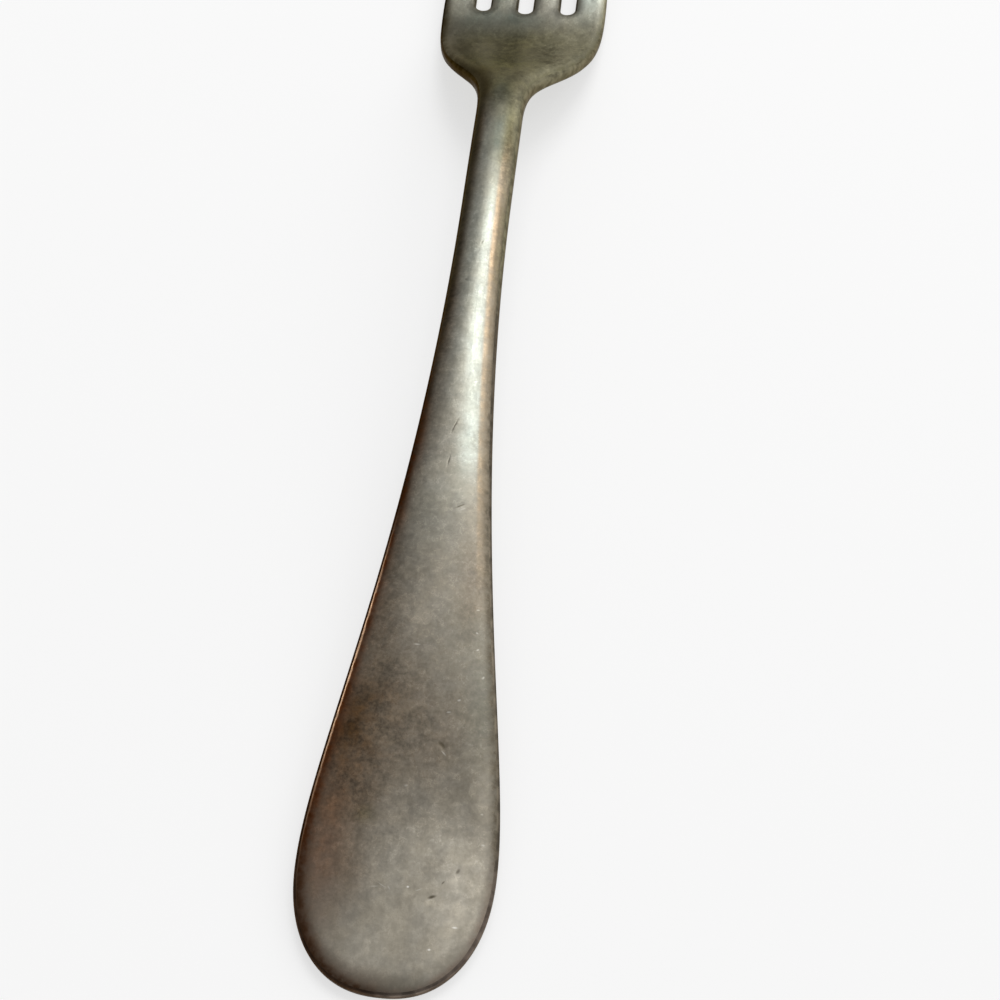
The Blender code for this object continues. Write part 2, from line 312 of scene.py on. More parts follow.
    def along(self, y: Array, handle: float, stem: float, palm: float, tip: float) -> Array:
        """Ease a size from the handle to the stem, on to the palm and out to the tine tips.

        Args:
            y: Places along the fork.
            handle: Size at the handle.
            stem: Size at the stem.
            palm: Size at the palm.
            tip: Size at the tine tips.

        Returns:
            The size at each place.
        """
        to_stem = ease((y - self.end_length) / self.taper_length)
        to_palm = ease((y - self.stem_end) / self.shoulder_length)
        to_tip = ease((y - self.palm_station) / self.tine_length)
        return handle + (stem - handle) * to_stem + (palm - stem) * to_palm + (tip - palm) * to_tip


@dataclass(frozen=True)
class Divisions:
    """How finely a piece is divided: rows along each stretch, and columns across each of four strips."""

    end: int = 48
    taper: int = 300
    stem: int = 46
    shoulder: int = 84
    slot: int = 10
    tine: int = 70
    point: int = 10
    columns: int = 36
    hidden_columns: int = 4

    def coarser(self, share: float, columns: int) -> Divisions:
        """Divide the same stretches less finely.

        Args:
            share: Share of the rows that is kept.
            columns: Quads across each strip.

        Returns:
            The coarser divisions.
        """
        rows = {name: round(getattr(self, name) * share)
                for name in ("end", "taper", "stem", "shoulder", "slot", "tine", "point")}
        return replace(self, columns=columns, **rows)


@dataclass(frozen=True)
class Sheet:
    """A welded sheet of triangles over the plan, with a whole number that stands for each point's place."""

    points: Array
    faces: Array
    places: Array

    @classmethod
    def weld(cls, grid: Array) -> Sheet:
        """Weld strips of quads where their points meet, and cut each quad in two.

        Args:
            grid: Plan points as a (strip, row, column, xy) array.

        Returns:
            The sheet, its triangles counter-clockwise from above, with none that has lost a side.
        """
        flat = grid.reshape(-1, 2)
        steps = np.round(flat / PLACE_UNIT).astype(np.int64)
        places, first, index = np.unique(steps[:, 0] * PLACE_SPAN + steps[:, 1],
                                         return_index=True, return_inverse=True)
        corner = index.reshape(grid.shape[:3])
        near_left, near_right = corner[:, :-1, :-1], corner[:, :-1, 1:]
        far_left, far_right = corner[:, 1:, :-1], corner[:, 1:, 1:]
        halves = [np.stack([near_left, near_right, far_right], axis=-1),
                  np.stack([near_left, far_right, far_left], axis=-1)]
        faces = np.concatenate([half.reshape(-1, 3) for half in halves])
        whole = (faces != np.roll(faces, 1, axis=1)).all(axis=1)
        return cls(flat[first], faces[whole], places)

    def rim(self) -> Array:
        """Find where the sheet ends, outside and round its slots.

        Returns:
            The edges that only one triangle has, each as it runs round that triangle.
        """
        edges = np.concatenate([self.faces[:, [0, 1]], self.faces[:, [1, 2]], self.faces[:, [2, 0]]])
        forth = edges[:, 0] * len(self.points) + edges[:, 1]
        back = edges[:, 1] * len(self.points) + edges[:, 0]
        return edges[~np.isin(forth, back)]


@dataclass(frozen=True)
class Strips:
    """The plan cut into four strips that become the tines, drawn in by an inset."""

    plan: ForkPlan
    divisions: Divisions
    inset: float
    slot_approach: float = 2.0 * MM

    @staticmethod
    def paired(left_x: Array, left_y: Array, right_x: Array, right_y: Array) -> Array:
        """Stack the points on the edges of the strips.

        Args:
            left_x: Where the left edges lie across the fork.
            left_y: Where they lie along it.
            right_x: Where the right edges lie across the fork.
            right_y: Where they lie along it.

        Returns:
            The points as a (strip, row, side, xy) array.
        """
        left_x, left_y, right_x, right_y = np.broadcast_arrays(left_x, left_y, right_x, right_y)
        left = np.stack([left_x, left_y], axis=-1)
        right = np.stack([right_x, right_y], axis=-1)
        return np.stack([left, right], axis=2)

    def undivided(self, half: Array, y: Array) -> Array:
        """Edges of the strips where they are still one sheet: the slots' shares of the half-width.

        Args:
            half: Half-width of each row.
            y: Where each row lies along the fork.

        Returns:
            The edge points.
        """
        shares = np.concatenate([[-1.0], self.plan.slot_centres / (self.plan.palm_width / 2), [1.0]])
        bounds = shares[:, None] * half
        return self.paired(bounds[:-1], y, bounds[1:], y)

    def end_rows(self) -> Array:
        """Rows round the handle end: powers of the sine and cosine of a quarter turn.

        Returns:
            The edge points.
        """
        plan, inset = self.plan, self.inset
        turn = np.linspace(0.0, np.pi / 2, self.divisions.end + 1)
        power = 2.0 / plan.end_squareness
        half = (plan.handle_width / 2 - inset) * np.sin(turn) ** power
        reach = np.clip(np.cos(turn), 0.0, 1.0) ** power
        return self.undivided(half, plan.end_length - (plan.end_length - inset) * reach)

    def body_rows(self) -> Array:
        """Even rows along the handle, stem and shoulders, then ever closer ones up to the slots.

        Returns:
            The edge points.
        """
        plan, rows = self.plan, self.divisions
        near_slots = plan.slot_bottom - self.slot_approach
        last = plan.slot_bottom - self.inset
        closing = 1.0 - np.linspace(0.0, 1.0, rows.slot + 1)[1:-1]
        y = np.concatenate([np.linspace(plan.end_length, plan.stem_start, rows.taper + 1)[1:],
                            np.linspace(plan.stem_start, plan.stem_end, rows.stem + 1)[1:],
                            np.linspace(plan.stem_end, near_slots, rows.shoulder + 1)[1:],
                            last - (last - near_slots) * closing ** 2])
        return self.undivided(plan.half_width(y, self.inset), y)

    def slot_rows(self) -> Array:
        """Rows that part the strips round the half-round bottoms of the slots.

        Returns:
            The edge points.
        """
        plan = self.plan
        turn = np.linspace(0.0, np.pi / 2, self.divisions.slot + 1)
        radius = plan.slot_width / 2 + self.inset
        outer_y = plan.palm_station - plan.slot_width / 2 * np.cos(turn)
        outer_x = plan.half_width(outer_y, self.inset)
        slot_y = np.repeat((plan.palm_station - radius * np.cos(turn))[None], len(plan.slot_centres), axis=0)
        slot_left = plan.slot_centres[:, None] - radius * np.sin(turn)
        slot_right = plan.slot_centres[:, None] + radius * np.sin(turn)
        return self.paired(np.vstack([-outer_x, slot_right]), np.vstack([outer_y, slot_y]),
                           np.vstack([slot_left, outer_x]), np.vstack([slot_y, outer_y]))

    def tine_rows(self) -> Array:
        """Even rows along the tapering tines, up to where their points begin.

        Returns:
            The edge points.
        """
        y = np.linspace(self.plan.palm_station, self.plan.point_station, self.divisions.tine + 1)[1:]
        left, right = self.plan.tine_edges(y, self.inset)
        return self.paired(left, y, right, y)

    def point_rows(self) -> Array:
        """Rows round the point of each tine, down to its one end point.

        Returns:
            The edge points.
        """
        plan, inset = self.plan, self.inset
        turn = np.linspace(0.0, np.pi / 2, self.divisions.point + 1)[1:]
        power = 2.0 / plan.point_squareness
        half = (plan.tip_width / 2 - inset) * np.clip(np.cos(turn), 0.0, 1.0) ** power
        y = plan.point_station + (plan.point_length - inset) * np.sin(turn) ** power
        centre = plan.tip_centres[:, None]
        return self.paired(centre - half, y, centre + half, y)

    def sheet(self, columns: int) -> Sheet:
        """Lay columns across each strip, closer together towards its two edges, and weld the strips.

        Args:
            columns: Quads across each strip.

        Returns:
            The welded sheet. Its rim has the same points for any number of columns.
        """
        edges = np.concatenate([self.end_rows(), self.body_rows(), self.slot_rows(),
                                self.tine_rows(), self.point_rows()], axis=1)
        share = (0.5 - 0.5 * np.cos(np.linspace(0.0, np.pi, columns + 1)))[:, None]
        return Sheet.weld(edges[:, :, None, 0] * (1.0 - share) + edges[:, :, None, 1] * share)


@dataclass(frozen=True)
class Course:
    """A value that goes along the fork by straight runs between the given places, in millimetres."""

    places: tuple[float, ...]
    values: tuple[float, ...]

    def at(self, y: Array) -> Array:
        """The value at y."""
        return np.interp(y, self.places, self.values)


class Mark(Enum):
    """How a mark shows: as a bright fleck, partly rubbed-bright silver and partly a painted glint; as a pit,
    darkened by dirt and painted shade; or by its shape alone.
    """

    GLINT_FLECK = "glint_fleck"
    PIT = "pit"
    DENT = "dent"


@dataclass(frozen=True)
class Nick:
    """A mark in millimetres: its middle on the fork, length, width, depth, turn in degrees, and look."""

    x: float
    y: float
    length: float
    width: float
    depth: float
    turn: float
    mark: Mark = Mark.DENT


# The face's large marks: x to the right, y from the handle end.
FACE_NICKS = (
    Nick(7.2, 7.5, 0.75, 0.26, 0.040, 0.0, Mark.GLINT_FLECK),
    Nick(4.8, 5.0, 0.42, 0.26, 0.035, 10.0, Mark.GLINT_FLECK),
    Nick(1.7, 11.2, 0.34, 0.26, 0.040, 0.0, Mark.GLINT_FLECK),
    Nick(-0.3, 10.9, 0.60, 0.20, 0.008, -50.0, Mark.GLINT_FLECK),
    Nick(-1.1, 11.1, 1.30, 0.13, 0.010, -28.0, Mark.GLINT_FLECK),
    Nick(-1.9, 10.9, 1.10, 0.13, 0.010, 8.0, Mark.GLINT_FLECK),
    Nick(2.9, 11.0, 0.90, 0.13, 0.010, 25.0, Mark.GLINT_FLECK),
    Nick(-1.4, 10.7, 1.50, 0.50, 0.020, -15.0),
    Nick(4.4, 10.4, 1.10, 0.42, 0.070, 22.0, Mark.PIT),
    Nick(4.2, 10.1, 0.80, 0.18, 0.005, 22.0, Mark.GLINT_FLECK),
    Nick(5.4, 12.0, 0.60, 0.24, 0.030, 50.0, Mark.PIT),
    Nick(6.8, 13.3, 0.85, 0.46, 0.030, 60.0, Mark.PIT),
    Nick(9.2, 16.4, 0.55, 0.22, 0.011, 10.0, Mark.GLINT_FLECK),
    Nick(8.7, 14.6, 0.40, 0.24, 0.010, 0.0, Mark.GLINT_FLECK),
    Nick(8.7, 19.7, 0.40, 0.24, 0.010, 0.0, Mark.GLINT_FLECK),
    Nick(5.6, 43.2, 0.48, 0.24, 0.010, 10.0, Mark.GLINT_FLECK),
    Nick(5.8, 40.4, 0.40, 0.24, 0.010, -20.0, Mark.GLINT_FLECK),
    Nick(6.1, 38.4, 0.44, 0.24, 0.012, 30.0, Mark.GLINT_FLECK),
    Nick(7.1, 35.2, 0.44, 0.28, 0.011, 60.0, Mark.GLINT_FLECK),
    Nick(4.7, 32.2, 0.50, 0.30, 0.011, 20.0, Mark.GLINT_FLECK),
    Nick(3.7, 30.7, 0.62, 0.26, 0.011, 10.0, Mark.GLINT_FLECK),
    Nick(-0.9, 38.3, 0.90, 0.24, 0.012, 0.0, Mark.GLINT_FLECK),
    Nick(3.7, 26.0, 0.90, 0.22, 0.011, -42.0, Mark.GLINT_FLECK),
    Nick(3.4, 26.9, 1.40, 0.55, 0.028, -42.0, Mark.PIT),
    Nick(0.0, 22.0, 0.50, 0.30, 0.008, 10.0, Mark.GLINT_FLECK),
    Nick(1.9, 72.8, 0.90, 0.22, 0.014, 15.0, Mark.GLINT_FLECK),
    Nick(0.1, 66.5, 2.40, 0.18, 0.024, 70.0, Mark.PIT),
    Nick(-0.1, 61.7, 1.20, 0.18, 0.024, 80.0, Mark.PIT),
    Nick(2.0, 55.9, 1.50, 0.22, 0.036, 30.0, Mark.PIT),
    Nick(2.3, 55.5, 1.20, 0.20, 0.005, 30.0, Mark.GLINT_FLECK),
    Nick(0.4, 93.6, 0.60, 0.20, 0.024, 75.0, Mark.PIT),
    Nick(-1.0, 87.7, 0.50, 0.30, 0.024, 0.0, Mark.PIT),
)


@dataclass(frozen=True)
class NickScatter:
    """Small nicks strewn over a side, in millimetres and degrees: how many, and between what sizes."""

    count: int = 150
    seed: int = 11
    end_margin: float = 2.0
    tip_margin: float = 4.0
    half_width_share: float = 0.92
    lengths: Span = (0.5, 1.6)
    widths: Span = (0.3, 0.5)
    depth: float = 0.014
    depth_shares: Span = (0.3, 1.0)
    turns: Span = (0.0, 180.0)

    def strew(self, plan: ForkPlan, side: Side) -> Array:
        """Draw the nicks of one side.

        Args:
            plan: The plan that they lie on.
            side: Which side, because each has its own.

        Returns:
            One row for each nick, in the order of its fields.
        """
        draw = np.random.default_rng(self.seed + int(side is Side.BACK))
        y = draw.uniform(self.end_margin, plan.length / MM - self.tip_margin, self.count)
        reach = plan.half_width(y * MM) / MM
        x = draw.uniform(-self.half_width_share, self.half_width_share, self.count) * reach
        length = draw.uniform(*self.lengths, self.count)
        width = draw.uniform(*self.widths, self.count)
        depth = draw.uniform(*self.depth_shares, self.count) * self.depth
        turn = draw.uniform(*self.turns, self.count)
        return np.stack([x, y, length, width, depth, turn], axis=1)


@dataclass(frozen=True)
class ForkForm:
    """The fork's thickness, side profile and worn surfaces over its plan, in metres."""

    plan: ForkPlan
    handle_thickness: float = 2.6 * MM
    stem_thickness: float = 4.4 * MM
    palm_thickness: float = 2.5 * MM
    tip_thickness: float = 1.5 * MM
    edge_wall: float = 0.8 * MM
    handle_roll: float = 2.4 * MM
    flat_runout: float = 34.0 * MM
    palm_roll: float = 1.7 * MM
    tip_roll: float = 0.9 * MM
    crown_radius: float = 240.0 * MM
    stem_height: float = 12.0 * MM
    tip_height: float = 12.6 * MM
    end_slope: float = 0.05
    stem_slope: float = 0.03
    tip_slope: float = 0.38
    heel_setback: float = 3.4 * MM
    palm_dish: float = 1.0 * MM
    tip_dish: float = 0.9 * MM
    rest_depth: float = 0.2 * MM
    least_wear: float = 0.010 * MM
    waviness: float = 0.006 * MM
    wave_length: float = 11.0 * MM
    first_wave: Span = (0.4, 1.0)
    second_wave: Span = (-1.1, 0.6)
    scatter: NickScatter = NickScatter()
    ledge_width: float = 0.62 * MM
    ledge_lip: float = 0.32 * MM
    ledge_share: Course = Course((10.0, 22.0, 46.0, 58.0), (0.0, 1.0, 1.0, 0.0))

    def edge_roll(self, y: Array) -> Array:
        """Width of the rounded edge.

        It eases from the handle's flat to the whole half-section, an oval, at the stem, then to the
        palm's edge, and along the tines to their tips.

        Args:
            y: Places along the fork.

        Returns:
            The width at each place.
        """
        plan = self.plan
        up_to_stem = np.minimum(y, plan.stem_end)
        oval = plan.half_width(up_to_stem) / plan.stretch(up_to_stem)
        body = self.handle_roll + (oval - self.handle_roll) * ease((y - plan.end_length) / self.flat_runout)
        body = body + (self.palm_roll - body) * ease((y - plan.stem_end) / plan.shoulder_length)
        to_tip = ease((y - plan.palm_station) / plan.tine_length)
        tine = self.palm_roll + (self.tip_roll - self.palm_roll) * to_tip
        left, right = plan.tine_edges(y)
        return np.where(y < plan.palm_station, body, np.minimum(tine, (right - left).min(axis=0) / 2))

    def worn_edge(self, side: Side, x: Array, y: Array) -> Array:
        """Distance to the edge that the rolled-off edge follows.

        Along the left rim of the face's handle a narrow ledge is rubbed flat: over its lip the distance
        rises to the ledge's whole width, and stays there until the true distance has caught up.

        Args:
            side: Which side.
            x: Places across the fork.
            y: Places along the fork.

        Returns:
            The distance at each point.
        """
        edge = self.plan.edge_distance(x, y)
        share = self.ledge_share.at(y / MM) * (x < 0.0) * (side is Side.FACE)
        rise = self.ledge_width * ease(edge / self.ledge_lip)
        return edge + share * np.clip(rise - edge, 0.0, None)

    def half_thickness(self, x: Array, y: Array, side: Side = Side.BACK) -> Array:
        """Half the thickness: the full one less a slight crown, rolled off as a quarter oval to the wall.

        Args:
            x: Places across the fork.
            y: Places along the fork.
            side: Which side, because only the face has the rubbed ledge.

        Returns:
            The half-thickness at each point.
        """
        full = self.plan.along(y, self.handle_thickness, self.stem_thickness,
                               self.palm_thickness, self.tip_thickness) / 2
        full = full - x * x / (2 * self.crown_radius)
        short_of_full = np.clip(1.0 - self.worn_edge(side, x, y) / self.edge_roll(y), 0.0, 1.0)
        wall = self.edge_wall / 2
        return wall + (full - wall) * np.sqrt(1.0 - short_of_full ** 2)

    @cached_property
    def end_height(self) -> float:
        """Work out how high the middle of the handle end lies.

        Returns:
            The height at which its back would reach below the table by the rest's depth.
        """
        y = np.linspace(0.0, self.plan.end_length, CURVE_SAMPLES)
        lowest = (self.end_slope * y - self.half_thickness(np.zeros_like(y), y)).min()
        return float(-self.rest_depth - lowest)

    def middle(self, x: Array, y: Array) -> Array:
        """Height of the middle of the thickness: three cubics one after the other, plus the dish.

        Args:
            x: Places across the fork.
            y: Places along the fork.

        Returns:
            The height at each point. The dish grows with the square of x.
        """
        plan = self.plan
        end = (0.0, self.end_height)
        crank = (plan.stem_end, self.stem_height)
        heel = (plan.palm_station - self.heel_setback, self.palm_thickness / 2 - self.rest_depth)
        tip = (plan.length, self.tip_height)
        line = np.where(y < crank[0], hermite(y, end, self.end_slope, crank, self.stem_slope),
                        np.where(y < heel[0], hermite(y, crank, self.stem_slope, heel, 0.0),
                                 hermite(y, heel, 0.0, tip, self.tip_slope)))
        dish = plan.along(y, 0.0, 0.0, self.palm_dish, self.tip_dish)
        return line + dish * (x / (plan.palm_width / 2)) ** 2

    def nicks(self, side: Side) -> Array:
        """The side's nicks: small ones strewn over it, and on the face the large ones of its wear.

        Args:
            side: Which side.

        Returns:
            One row for each nick, in the order of its fields.
        """
        small = self.scatter.strew(self.plan, side)
        if side is Side.BACK:
            return small
        large = np.array([astuple(nick)[:-1] for nick in FACE_NICKS])
        return np.concatenate([large, small])

    def wear_depth(self, side: Side, x: Array, y: Array) -> Array:
        """Depth worn off a side: a least wear, a bell-shaped dip for each nick, and a soft unevenness.

        A nick's dip falls off with the squares of the distances along and across it, each over half
        its size. The unevenness is a product of two slow waves, each along its own shares of x and y.

        Args:
            side: Which side.
            x: Places across the fork.
            y: Places along the fork.

        Returns:
            The depth at each point, 0 or more.
        """
        mid_x, mid_y, length, width, depth, turn = self.nicks(side).T
        off_x, off_y = x[:, None] / MM - mid_x, y[:, None] / MM - mid_y
        cos, sin = np.cos(np.radians(turn)), np.sin(np.radians(turn))
        along = (off_x * cos + off_y * sin) / (length / 2)
        across = (off_y * cos - off_x * sin) / (width / 2)
        dips = (depth * np.exp(-along ** 2 - across ** 2)).sum(axis=1) * MM
        phase = 2 * np.pi / self.wave_length
        first = phase * (self.first_wave[0] * x + self.first_wave[1] * y)
        second = phase * (self.second_wave[0] * x + self.second_wave[1] * y)
        wave = np.sin(first) * np.cos(second)
        return self.least_wear + dips + self.waviness * (0.5 + 0.5 * wave)

    def surface(self, side: Side, x: Array, y: Array, depth: Array | float = 0.0) -> Array:
        """Height of a side's worn surface, or of a layer at a depth under it.

        It is the middle plus or minus half the thickness; the back is worn flat where it meets the
        table, and wear goes into the metal from both sides.

        Args:
            side: Which side.
            x: Places across the fork.
            y: Places along the fork.
            depth: How far under the surface.

        Returns:
            The height at each point.
        """
        height = self.middle(x, y) + side.value * self.half_thickness(x, y, side)
        if side is Side.BACK:
            height = np.maximum(height, 0.0)
        return height - side.value * (depth + self.wear_depth(side, x, y))


class Tarnish(Enum):
    """A kind of stain, in the order in which they lie over one another, by its mesh attribute. The cool one
    also carries a painted highlight, and the grime painted shade.
    """

    PALE = "pale"
    COOL_AND_SHEEN = "cool_and_sheen"
    OLIVE = "olive"
    STRAW = "straw"
    SLATE = "slate"
    BROWN = "brown"
    RUST = "rust"
    GRIME_AND_SHADE = "grime_and_shade"


@dataclass(frozen=True)
class Stain:
    """A soft oval patch in millimetres: its middle on the fork, reach each way, and strength."""

    x: float
    y: float
    reach_x: float
    reach_y: float
    strength: float


# The face's stains: x to the right, y from the handle end.
FACE_STAINS = {
    Tarnish.PALE: (
        Stain(7.6, 9.0, 2.8, 5.5, 1.00),
        Stain(3.2, 7.0, 6.0, 6.0, 0.35),
        Stain(4.8, 16.0, 3.0, 3.0, 0.50),
        Stain(0.0, 13.0, 4.0, 5.0, 0.46),
        Stain(-2.6, 4.0, 4.0, 3.2, 0.42),
        Stain(-1.8, 60.5, 1.6, 4.0, 0.20),
        Stain(5.4, 2.5, 2.6, 2.4, 0.40),
        Stain(8.2, 11.0, 2.2, 4.0, 0.62),
        Stain(10.6, 141.0, 2.4, 4.0, 0.40),
        Stain(-0.6, 41.0, 3.0, 4.0, 0.17),
        # On the right outer tine: partly pale silver, partly a painted highlight.
        Stain(10.4, 157.0, 2.2, 4.5, 0.95),
        Stain(10.5, 142.5, 2.5, 2.5, 0.35),
    ),
    Tarnish.COOL_AND_SHEEN: (
        # These four, right of the stem's middle, make a lighter strip where the key lamp is reflected:
        # partly cleaner silver, partly a painted highlight.
        Stain(2.6, 64.0, 1.6, 4.5, 0.40),
        Stain(2.0, 69.0, 1.3, 8.0, 0.65),
        Stain(1.2, 82.0, 1.2, 10.0, 0.78),
        Stain(0.9, 97.0, 0.7, 9.0, 0.72),
        Stain(-0.8, 74.0, 1.5, 10.0, 0.22),
        Stain(-0.9, 95.0, 1.2, 14.0, 0.42),
        Stain(-1.2, 111.0, 0.9, 5.0, 0.34),
        Stain(4.0, 168.0, 18.0, 16.0, 0.65),
        # On the right outer tine: partly cool silver, partly a painted highlight.
        Stain(10.0, 156.0, 2.4, 6.0, 1.00),
        Stain(-1.0, 57.0, 4.0, 7.0, 0.16),
        Stain(10.5, 138.0, 2.5, 4.0, 0.50),
    ),
    Tarnish.OLIVE: (
        Stain(0.0, 132.0, 10.0, 9.0, 0.95),
        Stain(0.0, 143.0, 9.0, 5.0, 0.75),
        Stain(1.9, 114.0, 1.4, 8.0, 0.95),
        Stain(-5.0, 131.0, 4.0, 5.0, 0.60),
        Stain(0.4, 122.0, 3.0, 4.0, 0.85),
        Stain(-4.2, 18.5, 1.0, 0.9, 0.45),
    ),
    Tarnish.STRAW: (
        Stain(10.0, 141.0, 3.5, 8.0, 0.90),
        Stain(2.6, 118.5, 1.0, 4.0, 0.40),
        Stain(7.0, 135.0, 3.6, 7.0, 0.66),
        Stain(5.2, 142.5, 2.5, 3.5, 0.60),
        Stain(5.6, 127.5, 2.4, 3.0, 0.45),
    ),
    Tarnish.SLATE: (
        Stain(0.5, 113.0, 1.35, 7.0, 0.93),
        Stain(0.2, 106.0, 0.8, 6.0, 0.30),
        Stain(-0.2, 93.0, 1.0, 12.0, 0.42),
        Stain(-0.2, 120.0, 1.5, 4.5, 0.68),
        Stain(-2.0, 149.5, 7.0, 2.2, 0.85),
        Stain(-2.0, 146.0, 4.5, 2.5, 0.50),
        Stain(-9.0, 147.5, 3.5, 4.5, 0.62),
        Stain(-6.0, 156.0, 7.0, 6.0, 0.88),
        Stain(-5.5, 150.0, 2.0, 2.0, 0.40),
        Stain(7.6, 31.0, 2.6, 7.0, 0.50),
        Stain(4.6, 40.0, 3.2, 5.0, 0.30),
        Stain(11.0, 149.5, 2.0, 2.5, 0.25),
        Stain(0.0, 54.0, 4.0, 6.0, 0.14),
    ),
    Tarnish.BROWN: (
        Stain(-6.8, 28.0, 3.2, 6.0, 0.92),
        Stain(-7.0, 20.0, 4.0, 5.5, 0.55),
        Stain(-3.5, 33.0, 4.0, 6.0, 0.45),
        Stain(0.8, 27.5, 6.0, 5.0, 0.36),
        Stain(-4.5, 12.0, 2.4, 3.0, 0.28),
        Stain(-1.0, 18.0, 3.0, 4.0, 0.06),
        Stain(-5.5, 40.0, 3.0, 7.0, 0.35),
        Stain(4.6, 46.0, 1.6, 7.0, 0.25),
        Stain(-4.8, 24.0, 3.0, 5.0, 0.30),
        # These three along the stem's left edge also paint the shade of that side.
        Stain(-2.9, 84.0, 1.0, 9.0, 0.70),
        Stain(-2.7, 99.0, 0.7, 14.0, 0.50),
        Stain(-2.4, 113.0, 0.9, 7.0, 0.70),
        Stain(2.3, 109.5, 0.8, 5.0, 0.42),
        Stain(-5.6, 52.0, 1.8, 10.0, 0.38),
        Stain(-4.0, 70.0, 1.2, 9.0, 0.38),
    ),
    Tarnish.RUST: (
        Stain(-8.6, 14.0, 3.2, 9.0, 0.50),
        Stain(-4.1, 66.0, 0.8, 5.0, 0.75),
        Stain(-6.1, 50.0, 0.8, 7.0, 0.50),
        Stain(-5.0, 57.0, 0.7, 5.0, 0.60),
    ),
    # Dark left neck corner, shoulder and palm edge: grime and painted shade of the side away from the light.
    Tarnish.GRIME_AND_SHADE: (
        Stain(-3.0, 121.0, 1.7, 5.0, 0.98),
        Stain(-4.6, 126.0, 2.2, 3.6, 0.98),
        Stain(-7.0, 131.0, 1.9, 4.0, 0.65),
        Stain(-9.5, 136.0, 2.2, 5.0, 0.50),
        Stain(0.3, 118.0, 1.3, 3.5, 0.40),
        Stain(-12.2, 146.0, 1.4, 7.0, 0.65),
    ),
}


def patches(stains: tuple[Stain, ...], x: Array, y: Array) -> Array:
    """Cover of overlapping stains: 1 less the product of what each bell-shaped patch leaves bare.

    Args:
        stains: The patches.
        x: Places across the fork, in millimetres.
        y: Places along the fork, in millimetres.

    Returns:
        The cover at each point, from 0 to 1.
    """
    mid_x, mid_y, reach_x, reach_y, strength = np.array([astuple(stain) for stain in stains]).T
    fall = ((x[:, None] - mid_x) / reach_x) ** 2 + ((y[:, None] - mid_y) / reach_y) ** 2
    return 1.0 - np.prod(1.0 - strength * np.exp(-fall), axis=1)


